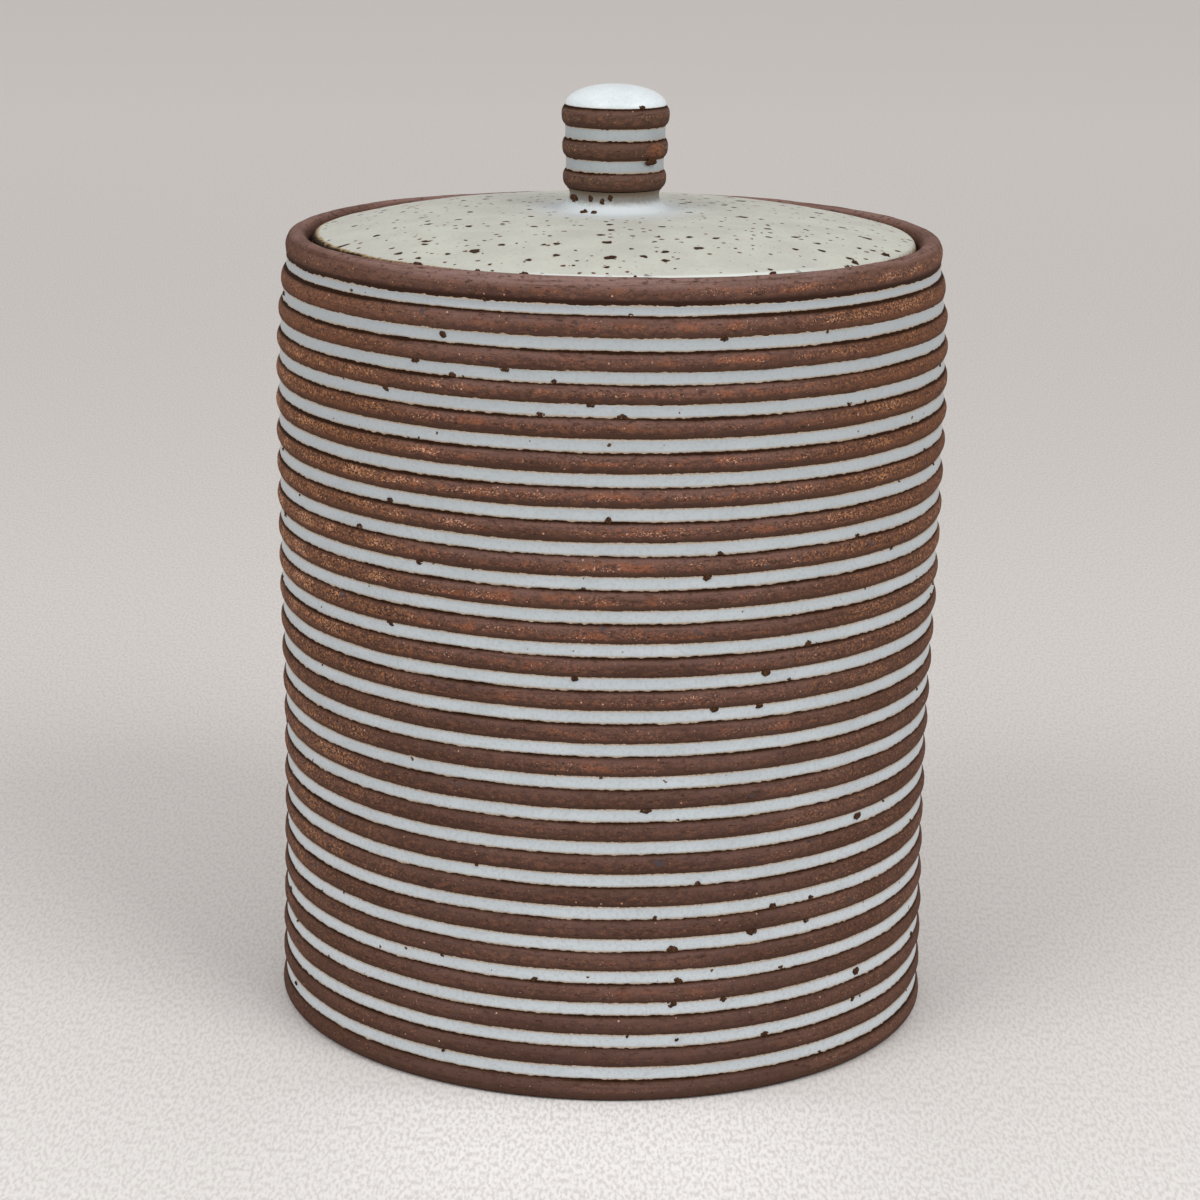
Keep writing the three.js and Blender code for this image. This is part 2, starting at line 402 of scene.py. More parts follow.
class SharedEffects:
    """The node groups that several finishes use, each built once."""

    ragged_finer: float = 3.5        # specks' outlines stray in waves this much finer than their rooms
    size_skew: float = 1.6           # above 1 makes small specks the most common
    smallest: float = 0.3            # smallest speck as a share of the largest
    soft_edge: float = 0.86          # where a speck's edge starts, as a share of its radius
    halo: float = 1.7                # and where its halo ends
    line_length: float = 28.0        # length of throwing lines for their height

    def __init__(self) -> None:
        """Builds the groups."""
        self.specks = self.iron_specks()
        self.lines = self.throwing_lines()
        self.cloud = self.mottle()

    @staticmethod
    def start(name: str, numbers: list[str], outputs: list[str]) -> tuple[Graph, dict, bpy.types.Node]:
        """Starts a node group.

        Args:
            name: Name of the group.
            numbers: Names of its inputs that are numbers, beside the place.
            outputs: Names of its outputs, which are all numbers.

        Returns:
            The graph, its inputs by name, and the node that takes its outputs.
        """
        tree = bpy.data.node_groups.new(name, "ShaderNodeTree")
        tree.interface.new_socket("Place", in_out="INPUT", socket_type="NodeSocketVector")
        for key in numbers:
            tree.interface.new_socket(key, in_out="INPUT", socket_type="NodeSocketFloat")
        for key in outputs:
            tree.interface.new_socket(key, in_out="OUTPUT", socket_type="NodeSocketFloat")
        graph = Graph(tree)
        entry = graph.node("NodeGroupInput")
        sockets = {key: entry.outputs[key] for key in ["Place", *numbers]}
        return graph, sockets, graph.node("NodeGroupOutput")

    def iron_specks(self) -> bpy.types.NodeTree:
        """Scattered ragged specks: a mask of the specks and a wider one of their halos."""
        numbers = ["Scale", "Size", "Share", "Ragged"]
        graph, given, result = self.start("Iron specks", numbers, ["Mask", "Halo"])
        finer = graph.product(given["Scale"], self.ragged_finer)
        rough = graph.pattern("ShaderNodeTexNoise", given["Place"], finer, Detail=2.0)
        shift = graph.vector("SUBTRACT", rough.outputs["Color"], (0.5, 0.5, 0.5))
        sway = graph.vector("MULTIPLY", shift, graph.math("DIVIDE", given["Ragged"], given["Scale"]))
        moved = graph.vector("ADD", given["Place"], sway)
        cells = graph.pattern("ShaderNodeTexVoronoi", moved, given["Scale"])
        cells.voronoi_dimensions = "2D"
        parts = graph.node("ShaderNodeSeparateColor")
        graph.feed(parts.inputs[0], cells.outputs["Color"])
        there = graph.math("LESS_THAN", parts.outputs[1], given["Share"])
        skewed = graph.math("POWER", parts.outputs[0], self.size_skew)
        radius = graph.product(given["Size"], graph.ease(skewed, self.smallest, 1.0), there)
        inner = graph.product(radius, self.soft_edge)
        for name, outer in (("Mask", radius), ("Halo", graph.product(radius, self.halo))):
            mask = graph.span(cells.outputs["Distance"], inner, outer, 1.0, 0.0)
            graph.feed(result.inputs[name], graph.product(mask, there))
        return graph.tree

    def throwing_lines(self) -> bpy.types.NodeTree:
        """Fine lines round the jar, from the wheel and the turning tool."""
        graph, given, result = self.start("Throwing lines", ["Scale"], ["Value"])
        place = graph.stretch(given["Place"], self.line_length)
        noise = graph.pattern("ShaderNodeTexNoise", place, given["Scale"], Detail=3.0)
        graph.feed(result.inputs["Value"], noise.outputs[0])
        return graph.tree

    def mottle(self) -> bpy.types.NodeTree:
        """Slow cloudy patches with finer ones inside them."""
        graph, given, result = self.start("Mottle", ["Scale"], ["Value"])
        noise = graph.pattern("ShaderNodeTexNoise", given["Place"], given["Scale"], Detail=5.0, Roughness=0.6)
        graph.feed(result.inputs["Value"], graph.span(noise.outputs[0], 0.3, 0.7))
        return graph.tree


class Finish:
    """A material on a Principled shader, wired by its subclass."""

    name = "finish"
    specular = 0.5

    def __init__(self, effects: SharedEffects) -> None:
        """Makes the material.

        Args:
            effects: The shared node groups.
        """
        self.effects = effects
        self.material = bpy.data.materials.new(self.name)
        self.material.use_nodes = True
        tree = self.material.node_tree
        self.graph = Graph(tree)
        self.shader = tree.nodes["Principled BSDF"]
        self.shader.inputs["Specular IOR Level"].default_value = self.specular
        self.object_place = self.graph.node("ShaderNodeTexCoord").outputs["Object"]
        self.wire()

    def wire(self) -> None:
        """Wires the finish. Each subclass has its own."""
        raise NotImplementedError

    def parts(self) -> tuple[Socket, Socket, Socket, Socket]:
        """Gives X, Y and Z of a surface point, and its distance from the upright axis, in millimetres."""
        graph = self.graph
        split = graph.node("ShaderNodeSeparateXYZ")
        graph.feed(split.inputs[0], self.object_place)
        across, deep, height = (graph.math("DIVIDE", part, MM) for part in split.outputs)
        squares = graph.total(graph.product(across, across), graph.product(deep, deep))
        return across, deep, height, graph.math("SQRT", squares)

    def around(self) -> Socket:
        """Unrolls the wall or the knob: the way round from the front, and the height, in metres."""
        graph = self.graph
        across, deep, height, radius = self.parts()
        angle = graph.math("ARCTAN2", across, graph.product(deep, -1.0))
        rolled = graph.span(radius, *KNOB_TO_WALL, KNOB_RADIUS * MM, WALL_RADIUS * MM)
        made = graph.node("ShaderNodeCombineXYZ")
        graph.feed(made.inputs[0], graph.product(angle, rolled))
        graph.feed(made.inputs[1], graph.product(height, MM))
        return made.outputs[0]

    def attribute(self, name: str) -> Socket:
        """Reads a number stored on the mesh."""
        return self.graph.node("ShaderNodeAttribute", attribute_name=name).outputs["Fac"]

    def specks(
        self, place: Socket, cell: float, size: float, share: float, ragged: float
    ) -> tuple[Socket, Socket]:
        """Scatters specks.

        Args:
            place: Flat place on the surface, in metres.
            cell: Room for each speck, in millimetres.
            size: Largest radius of a speck, as a share of its room.
            share: Share of the rooms that have one.
            ragged: How far their outlines stray.

        Returns:
            The mask of the specks and that of their halos.
        """
        numbers = {"Scale": 1 / (cell * MM), "Size": size, "Share": share, "Ragged": ragged}
        made = self.graph.use(self.effects.specks, Place=place, **numbers)
        return made.outputs["Mask"], made.outputs["Halo"]

    def cloud(self, size: float, along: float = 1.0) -> Socket:
        """Slow patches of a size in millimetres, lengthened round the jar."""
        place = self.graph.stretch(self.object_place, along)
        return self.graph.use(self.effects.cloud, Place=place, Scale=1 / (size * MM)).outputs["Value"]

    def lines(self, size: float) -> Socket:
        """Throwing lines of a height in millimetres."""
        scale = 1 / (size * MM)
        return self.graph.use(self.effects.lines, Place=self.object_place, Scale=scale).outputs["Value"]

    def noise(self, size: float, detail: float, along: float = 1.0) -> Socket:
        """Soft noise of a size in millimetres, lengthened round the jar."""
        return self.graph.noise(self.graph.stretch(self.object_place, along), size, detail)

    def tremble(self, size: float) -> Socket:
        """Fine noise of a size in millimetres about 0, which makes edges uneven."""
        return self.graph.total(self.noise(size, 3.0), -0.5)

    def finish(self, colour: Value, roughness: Value, height: Value, relief: float) -> None:
        """Feeds the shader.

        Args:
            colour: Base colour.
            roughness: Roughness.
            height: Height of the fine relief, from 0 to 1.
            relief: Size of that relief in millimetres.
        """
        bump = self.graph.node("ShaderNodeBump")
        bump.inputs["Strength"].default_value = 1.0
        bump.inputs["Distance"].default_value = relief * MM
        self.graph.feed(bump.inputs["Height"], height)
        self.graph.feed(self.shader.inputs["Base Color"], colour)
        self.graph.feed(self.shader.inputs["Roughness"], roughness)
        self.graph.feed(self.shader.inputs["Normal"], bump.outputs[0])


class Stoneware(Finish):
    """Bare dark stoneware: chocolate clay with rusty grit, burnt margins along the glaze, and painted shade
    and sheen on the beads and the rim.
    """

    name = "bare stoneware"
    specular = 0.1
    shade: Colour = (74, 52, 44)
    body: Colour = (100, 75, 68)
    rust: Colour = (118, 80, 62)
    # the clay's tone at the sides, painted there because the front carries a painted sheen
    sides_without_sheen: Colour = (122, 76, 48)
    # dust on the beads, lightened in front by a painted sheen
    dust_and_sheen: Colour = (112, 86, 79)
    # painted sheen on top of the rim
    rim_sheen: Colour = (134, 108, 102)
    grit: Colour = (153, 98, 73)
    gold: Colour = (170, 114, 72)
    smear: Colour = (144, 88, 62)
    knob_clay: Colour = (86, 64, 52)
    knob_grit: Colour = (148, 116, 90)
    bright_grit: Colour = (204, 158, 132)
    crack: Colour = (46, 29, 20)
    burnt: Colour = (40, 20, 6)
    scorched: Colour = (68, 44, 32)
    # burnt clay under each bead, darkened by painted shadow
    lower_margin_and_shadow: Colour = (78, 55, 43)
    # burnt clay at the foot of the rim, darkened by painted shade under its roll
    rim_margin_and_shade: Colour = (50, 32, 24)
    blue_spot: Colour = (70, 66, 72)
    stain: Colour = (138, 84, 52)
    stain_place: tuple[float, float, float] = (11.5, -9.0, 243.0)
    stain_fades: Range = (4.2, 1.5)          # distance from its middle
    leftwards: Range = (75.0, -85.0)         # X from the plain side to the rusty one
    sideways: Range = (35.0, 80.0)           # X from the front to the sides
    high_rows: Range = (60.0, 215.0)         # heights
    low_rows: Range = (50.0, 10.0)
    rich_rows: Range = (20.0, 120.0)
    top_rows: Range = (185.0, 203.0)
    rim_foot: Range = (212.0, 213.5)
    rim_sheen_front: Range = (217.0, 219.4)  # heights between which the painted sheen sets in on the rim, in front
    rim_sheen_sides: Range = (218.4, 220.1)  # and at the sides
    knob_reach: Range = (60.0, 30.0)         # distance from the axis

    def wire(self) -> None:
        """Wires clay, grit, specks and margins."""
        graph = self.graph
        self.place = self.attribute(BEAD_PLACE)
        self.fine = self.tremble(0.8)
        self.survey()
        streaks = self.lines(0.6)
        patches = self.cloud(22, along=2.5)
        richness = self.richness(patches)
        zone = self.zone()
        colour = self.clay(patches, streaks, graph.product(richness, zone))
        colour, crust = self.gritty(colour, richness, zone)
        colour = self.spotted(colour)
        cracks = graph.span(self.noise(0.5, 3.0, along=4.0), 0.37, 0.29)
        colour = graph.blend(graph.product(cracks, 0.6), colour, self.crack)
        relief = graph.total(
            graph.product(crust, 0.8),
            graph.product(streaks, 0.7),
            graph.product(self.fine, 0.9),
            graph.product(cracks, -0.6),
        )
        self.finish(self.margins(colour), graph.ease(crust, 0.86, 0.78), relief, 0.17)

    def survey(self) -> None:
        """Works out where a surface point lies: left, aside, high, low, on the rim or on the knob."""
        graph = self.graph
        across, _, height, radius = self.parts()
        self.left = graph.span(across, *self.leftwards)
        self.aside = graph.span(graph.math("ABSOLUTE", across), *self.sideways)
        self.high = graph.span(height, *self.high_rows)
        self.low = graph.span(height, *self.low_rows)
        self.on_knob = graph.span(radius, *self.knob_reach)
        self.on_rim = graph.product(graph.span(height, *self.rim_foot), graph.ease(self.on_knob, 1.0, 0.0))
        self.sides = graph.product(self.aside, graph.ease(self.on_rim, 1.0, 0.3))
        self.top_left = graph.product(self.left, graph.span(height, *self.top_rows))
        self.rich_left = graph.product(self.left, graph.span(height, *self.rich_rows, 0.08, 0.4))
        begins, whole = (
            graph.ease(self.aside, front, side)
            for front, side in zip(self.rim_sheen_front, self.rim_sheen_sides)
        )
        # where the painted sheen lies on top of the rim
        self.rim_sheen_share = graph.product(graph.span(height, begins, whole, 0.0, 0.9), self.on_rim)

    def richness(self, patches: Socket) -> Socket:
        """How rusty and gritty the clay is: most at the left and high up, and in patches."""
        graph = self.graph
        rich = graph.total(
            graph.product(self.rich_left, graph.ease(self.on_rim, 1.0, 0.1)),
            graph.product(self.high, 0.42),
            graph.product(self.high, self.sides, 0.15),
            graph.ease(patches, -0.3, 0.35),
        )
        return graph.math("MAXIMUM", rich, 0.0)

    def zone(self) -> Socket:
        """Where on a bead rust and grit show: not at its edges, and higher up on it at the sides."""
        graph = self.graph
        bare = graph.span(self.high, 0.3, 1.0, 0.12, 0.3)
        brow = graph.ease(self.sides, 0.88, 0.98)
        crest = graph.ease(self.sides, 0.6, 0.8)
        return graph.product(
            graph.span(self.place, bare, graph.total(bare, 0.2)),
            graph.span(self.place, brow, crest, 0.1, 1.0),
            graph.span(self.top_left, 0.0, 0.7, 1.0, 0.4),
        )

    def clay(self, patches: Socket, streaks: Socket, rusty: Socket) -> Socket:
        """The clay itself: painted shade under each bead, dust and a painted sheen on top of it, the sides
        painted oranger for want of that sheen, streaked by the wheel.

        Args:
            patches: Slow patches.
            streaks: Lines round the jar.
            rusty: How rusty the clay is.

        Returns:
            The colour.
        """
        graph = self.graph
        smudges = self.noise(1.2, 5.0, along=2.0)
        # painted shade: each bead darker towards its lower edge, more so high up
        under = graph.product(graph.span(self.place, 0.62, 0.15), graph.span(self.high, 0.2, 1.0, 0.4, 0.9))
        # dust and a painted sheen on the tops of the beads, most in front
        dust_and_sheen_share = graph.product(
            graph.span(self.place, 0.45, 0.8),
            graph.span(self.high, 0.0, 0.6, 0.25, 0.8),
            graph.span(self.aside, 0.0, 0.7, 1.0, 0.2),
        )
        worn = graph.product(
            graph.span(smudges, 0.51, 0.62),
            graph.span(self.left, 0.0, 0.7, 0.3, 0.55),
            graph.span(self.place, 0.8, 0.45, 0.35, 1.0),
            graph.ease(self.low, 1.0, 0.3),
        )
        return graph.layers(
            graph.blend(patches, self.shade, self.body),
            (graph.product(self.low, 0.35), self.shade),
            (under, self.shade),
            (dust_and_sheen_share, self.dust_and_sheen),
            # painted sheen on top of the rim
            (self.rim_sheen_share, self.rim_sheen),
            # painted: the sides warmer and oranger than the front, which the painted sheen greys
            (graph.product(self.sides, graph.ease(self.high, 0.1, 0.45)), self.sides_without_sheen),
            (graph.product(rusty, 0.3), self.rust),
            (graph.product(self.on_knob, 0.55), self.knob_clay),
            (worn, self.rust),
            (graph.span(smudges, 0.46, 0.32, 0.0, 0.75), self.shade),
            (graph.span(streaks, 0.48, 0.72, 0.0, 0.6), self.shade),
        )

    def gritty(self, colour: Socket, richness: Socket, zone: Socket) -> tuple[Socket, Socket]:
        """Adds smears of rust, the rusty crust and its bright grains, in clusters on the beads.

        Args:
            colour: The clay's colour.
            richness: How much grit there is.
            zone: Where on a bead it shows.

        Returns:
            The new colour, and the mask of the crust.
        """
        graph = self.graph
        clusters = self.noise(4.5, 2.0, along=2.2)
        speckle = self.noise(0.6, 3.0, along=1.3)
        clustered = graph.span(clusters, 0.38, 0.62, 0.25, 0.95)
        reach = graph.product(zone, clustered, graph.ease(richness, 0.05, 1.0))
        thick = graph.product(reach, graph.span(self.left, 0.5, 1.0, 0.18, 0.25))
        crust = graph.span(graph.total(self.noise(0.9, 4.0, along=1.7), thick), 0.64, 0.76)
        dense = graph.product(reach, 0.16)
        grains = graph.span(graph.total(self.noise(0.42, 3.0, along=1.4), dense), 0.69, 0.74)
        golden = graph.span(self.sides, 0.0, 0.6)
        tone = graph.layers(self.grit, (golden, self.gold), (self.on_knob, self.knob_grit))
        smears = graph.product(
            graph.span(self.noise(3.0, 4.0, along=2.5), 0.53, 0.64, 0.0, 0.55),
            zone,
            graph.span(richness, 0.1, 0.7),
            graph.span(self.sides, 0.0, 0.7, 1.0, 0.0),
        )
        strength = graph.product(
            graph.span(richness, 0.0, 0.8, 0.2, 0.58),
            zone,
            graph.ease(self.sides, 1.0, 1.7),
            graph.span(clusters, 0.38, 0.6, 0.55, 0.95),
            graph.ease(self.low, 1.0, 0.4),
        )
        colour = graph.layers(
            colour,
            (smears, self.smear),
            (graph.product(crust, 0.45), tone),
            (graph.product(graph.span(speckle, 0.54, 0.63), strength), tone),
            (graph.product(graph.span(speckle, 0.49, 0.38, 0.0, 0.85), strength), self.crack),
            (graph.product(grains, 0.85), self.bright_grit),
        )
        return colour, graph.math("MAXIMUM", crust, grains)

    def spotted(self, colour: Socket) -> Socket:
        """Adds pale pins, bluish spots and the rusty stain on the knob."""
        graph = self.graph
        unrolled = self.around()
        pins, _ = self.specks(unrolled, cell=5.5, size=0.05, share=0.3, ragged=0.1)
        spots, _ = self.specks(unrolled, cell=16, size=0.07, share=0.35, ragged=0.25)
        away = graph.vector("DISTANCE", self.object_place, [part * MM for part in self.stain_place])
        away = graph.total(graph.math("DIVIDE", away, MM), graph.product(self.fine, 7.0))
        blotches = graph.span(self.noise(1.1, 4.0), 0.38, 0.56)
        return graph.layers(
            colour,
            (graph.product(pins, 0.8), self.bright_grit),
            (graph.product(spots, 0.7), self.blue_spot),
            (graph.product(graph.span(away, *self.stain_fades, 0.0, 0.8), blotches), self.stain),
        )

    def margins(self, colour: Socket) -> Socket:
        """Adds the dark margin over each band of glaze, partly burnt and partly painted shadow under the bead
        above, and the burnt line under the band.
        """
        graph = self.graph
        edge = graph.total(self.place, graph.product(self.fine, 0.1))
        width = graph.total(graph.product(self.left, 0.01), graph.product(self.high, 0.045), 0.065)
        width = graph.product(width, graph.ease(self.cloud(18, along=3.0), 0.65, 1.35))
        start = graph.math("SUBTRACT", 1.0, width)
        scorched = graph.span(edge, graph.total(start, -0.1), start, 0.0, graph.ease(self.high, 0.8, 0.5))
        return graph.layers(
            colour,
            # burnt margin and painted shadow under each bead, stronger high up
            (graph.span(edge, 0.28, 0.1, 0.0, graph.ease(self.high, 0.5, 0.85)), self.lower_margin_and_shadow),
            # burnt margin and painted shade at the foot of the rim
            (graph.product(graph.span(edge, 0.32, 0.14), self.on_rim), self.rim_margin_and_shade),
            (scorched, self.scorched),
            (graph.span(edge, graph.total(start, -0.03), graph.total(start, 0.05)), self.burnt),
        )


class BandGlaze(Finish):
    """Satin white glaze pooled in a groove, breaking to brown at its edges, with iron that burnt through,
    painted greyer towards the top and lighter low down.
    """

    name = "band glaze"
    body: Colour = (191, 198, 203)
    thin: Colour = (181, 188, 193)
    # painted light on the lower rows, most at the sides
    lit_low_glaze: Colour = (205, 211, 216)
    # grey laid on the upper rows as painted shade
    grey: Colour = (164, 170, 174)
    warm: Colour = (166, 138, 104)
    brown: Colour = (88, 56, 30)
    iron: Colour = (58, 41, 30)
    pinhole: Colour = (146, 148, 146)
    lit_rows: Range = (95.0, 25.0)        # heights of the painted light low down
    shaded_rows: Range = (90.0, 240.0)
    sideways: Range = (30.0, 80.0)           # X from the front to the sides

    def wire(self) -> None:
        """Wires the pooled glaze, its edges and its specks."""
        graph = self.graph
        place = self.attribute(BAND_PLACE)
        across, _, height, _ = self.parts()
        unrolled = self.around()
        mottle = self.noise(0.9, 4.0)
        edge = graph.total(graph.math("ABSOLUTE", place), graph.product(self.tremble(0.7), 0.34))
        aside = graph.span(graph.math("ABSOLUTE", across), *self.sideways, 0.25, 0.75)
        pins, _ = self.specks(unrolled, cell=3.0, size=0.07, share=0.25, ragged=0.2)
        dots, halos = self.specks(unrolled, cell=11, size=0.05, share=0.3, ragged=0.3)
        colour = graph.layers(
            graph.blend(self.cloud(7, along=2.0), self.thin, self.body),
            # painted light: the glaze brighter low down, most at the sides
            (graph.product(graph.span(height, *self.lit_rows), aside), self.lit_low_glaze),
            # painted shade: the glaze greyer towards the top
            (graph.span(height, *self.shaded_rows), self.grey),
            (graph.span(mottle, 0.45, 0.7, 0.0, 0.3), self.pinhole),
            (graph.span(place, 0.1, -0.8, 0.0, 0.2), self.pinhole),
            (graph.span(edge, 0.66, 0.98, 0.0, 0.75), self.warm),
            (graph.span(edge, 0.93, 1.05, 0.0, 0.9), self.brown),
            (graph.product(pins, 0.6), self.pinhole),
            (graph.product(halos, 0.4), self.warm),
            (dots, self.iron),
        )
        relief = graph.total(self.noise(2.2, 2.0), graph.product(mottle, 0.6))
        self.finish(colour, graph.span(edge, 0.8, 1.0, 0.4, 0.55), relief, 0.06)


class KnobGlaze(BandGlaze):
    """The same glaze between the knob's beads, greyer: painted shade, as on the bands high up."""

    name = "knob glaze"
    # colours greyed by painted shade, as high on the bands
    body: Colour = (165, 171, 174)
    thin: Colour = (154, 160, 163)
    pinhole: Colour = (140, 144, 146)
    shaded_rows: Range = (400.0, 500.0)        # above the knob, as its painted shade is in the colours


class CapGlaze(KnobGlaze):
    """The same glaze, thick and white on top of the knob."""

    name = "cap glaze"
    body: Colour = (222, 230, 233)
    thin: Colour = (207, 215, 219)
    pinhole: Colour = (184, 191, 194)


class LidGlaze(Finish):
    """Speckled pale glaze on the lid, thick and white round the knob's foot, breaking to brown at the rim,
    with a painted highlight on its lip, painted shadow at its edge and painted shade on the neck.
    """

    name = "lid glaze"
    specular = 0.05
    body: Colour = (191, 192, 182)
    grey: Colour = (182, 181, 173)
    thick: Colour = (200, 206, 208)
    # painted highlight on the lid's lip
    lip_highlight: Colour = (218, 222, 217)
    iron: Colour = (52, 30, 24)
    rust: Colour = (92, 60, 46)
    halo: Colour = (164, 150, 128)
    honey: Colour = (148, 124, 84)
    # the glaze's brown break at the edge, darkened by painted shadow in the gap round the lid
    edge_brown_and_shadow: Colour = (36, 21, 9)
    # painted shade on the knob's neck
    neck_shade: Colour = (128, 124, 118)
    neck_brown: Colour = (114, 99, 82)
    thick_fades: Range = (12.0, 29.0)        # distance from the axis
    specks_begin: Range = (15.0, 24.0)
    # distance from the axis at which the painted highlight starts
    lip_highlight_begins: Range = (79.8, 81.4)
    lip_highlight_ends: Range = (62.0, 35.0)           # X from the right, where the lip has no painted highlight, to the front
    leftwards: Range = (-5.0, -48.0)         # X from the front to the left
    edge_radius: float = 83.4
    neck_top: float = 232.5

    def wire(self) -> None:
        """Wires the glaze, its iron specks, its thick foot and its thin edge."""
        graph = self.graph
        across, _, height, radius = self.parts()
        fine = self.tremble(1.1)
        grains = self.noise(0.9, 4.0)
        faint, _ = self.specks(self.object_place, cell=2.2, size=0.17, share=0.3, ragged=0.4)
        left = graph.span(across, *self.leftwards)
        # painted highlight along the lip, in front, fading to the left and right
        lip_highlight = graph.product(
            graph.span(radius, *self.lip_highlight_begins),
            graph.span(left, 0.0, 0.6, 0.8, 0.0),
            graph.span(across, *self.lip_highlight_ends),
        )
        rim = graph.total(radius, -self.edge_radius, graph.product(left, 1.5), graph.product(fine, 2.2))
        neck = graph.total(height, -self.neck_top, graph.product(fine, 1.2))
        colour = graph.layers(
            graph.blend(self.cloud(14), self.grey, self.body),
            (graph.span(grains, 0.5, 0.75, 0.0, 0.3), self.halo),
            (graph.span(radius, *self.thick_fades, 1.0, 0.0), self.thick),
            (graph.product(faint, 0.4), self.halo),
            *self.iron_coats(graph.span(radius, *self.specks_begin)),
            (lip_highlight, self.lip_highlight),
            (graph.span(rim, -0.8, 0.2), self.honey),
            # brown break and painted shadow at the lid's edge, reaching furthest in at the left
            (graph.span(rim, 0.0, 0.7), self.edge_brown_and_shadow),
            # painted shade on the neck
            (graph.span(neck, -4.8, -2.4), self.neck_shade),
            (graph.span(neck, -2.6, -0.6), self.neck_brown),
        )
        relief = graph.total(self.noise(3.0, 2.0), graph.product(grains, 0.5))
        self.finish(colour, graph.span(fine, -0.3, 0.3, 0.45, 0.6), relief, 0.06)

    def iron_coats(self, where: Socket) -> list[tuple[Socket, Colour]]:
        """Small rusty specks, and middling and large ones of iron, each with its halo underneath.

        Args:
            where: Mask of the part of the lid that has them.

        Returns:
            The coats, from the lowest up.
        """
        coats = []
        small = (4.2, 0.16, 0.4, self.rust)
        middling = (7.0, 0.155, 0.6, self.iron)
        large = (12.0, 0.135, 0.45, self.iron)
        for cell, size, share, tone in (small, middling, large):
            mask, halo = self.specks(self.object_place, cell, size, share, ragged=0.3)
            coats.append((self.graph.product(halo, where, 0.3), self.halo))
            coats.append((self.graph.product(mask, where), tone))
        return coats


class LinerGlaze(Finish):
    """Plain pale glaze inside the jar and under the lid, with a few specks."""

    name = "liner glaze"
    body: Colour = (211, 211, 204)
    thin: Colour = (196, 192, 180)
    iron: Colour = (112, 84, 62)

    def wire(self) -> None:
        """Wires the glaze and its specks."""
        graph = self.graph
        lines = self.lines(2.5)
        spots, _ = self.specks(self.around(), cell=9, size=0.09, share=0.4, ragged=0.5)
        colour = graph.layers(
            graph.blend(self.cloud(20), self.thin, self.body),
            (graph.span(lines, 0.5, 0.8, 0.0, 0.4), self.thin),
            (graph.product(spots, 0.8), self.iron),
        )
        self.finish(colour, graph.span(lines, 0.2, 0.8, 0.3, 0.42), lines, 0.06)


class BurntIron(Finish):
    """A lump of iron that burst through the glaze: dark brown and a little glassy."""

    name = "burnt iron"
    specular = 0.1
    body: Colour = (50, 33, 22)
    rust: Colour = (88, 58, 37)

    def wire(self) -> None:
        """Wires the lump."""
        graph = self.graph
        grain = self.noise(0.5, 3.0)
        colour = graph.blend(graph.span(grain, 0.42, 0.66), self.body, self.rust)
        self.finish(colour, graph.span(grain, 0.3, 0.7, 0.7, 0.9), grain, 0.08)


def dress(piece: Piece, finish: Finish, body: Body, node: str = "", words: str = "") -> None:
    """Gives a piece its finish and its place in the frame, and logs it.

    Args:
        piece: The finished piece.
        finish: Its finish.
        body: The body that carries it.
        node: The node that it stands for, if any.
        words: What it is, for the log, where the node's name doesn't say it.
    """
    piece.data.materials.append(finish.material)
    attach(piece, body.value)
    if node:
        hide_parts(node)
    LOG.info("%s: %s, %d faces", piece.name, words or node.replace("_", " "), len(piece.data.polygons))


# The jar


@dataclass(frozen=True)
class Extent:
    """What a node of the frame takes up: its radius, and the heights of its bottom and its top."""

    radius: float
    bottom: float
    top: float

    @classmethod
    def of(cls, node: str) -> "Extent":
        """Reads a node's extent from the frame."""
        low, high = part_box(node)
        return cls(high.x / MM, low.z / MM, high.z / MM)

    @property
    def middle(self) -> float:
        """Height halfway up."""
        return (self.bottom + self.top) / 2


@dataclass(frozen=True)
class BeadForm:
    """The rounded form of a bead.

    Attributes:
        height: From its edges out to its crest.
        fullness: How flat its face is: 2 is round, more is squarer.
        steps: Stretches from its lower to its upper edge.
    """

    height: float
    fullness: float
    steps: int

    def between(self, bottom: float, top: float, crest: Callable[[float], float]) -> Profile:
        """A bead between two heights.

        Args:
            bottom: Height of its lower edge.
            top: Height of its upper edge.
            crest: Gives the crest's radius at a height.

        Returns:
            Its points, each with its place from 0 at the lower edge to 1 at the upper.
        """
        marks = []
        for step in range(self.steps + 1):
            place = step / self.steps
            height = bottom + (top - bottom) * place
            drop = self.height * abs(2 * place - 1) ** self.fullness
            marks.append(((crest(height) - drop, height), place))
        return marks


@dataclass(frozen=True)
class Band:
    """A glaze band of the frame.

    Attributes:
        node: Its node.
        height: Height of its middle.
        crest: Radius of the bead crests beside it.
    """

    node: str
    height: float
    crest: float


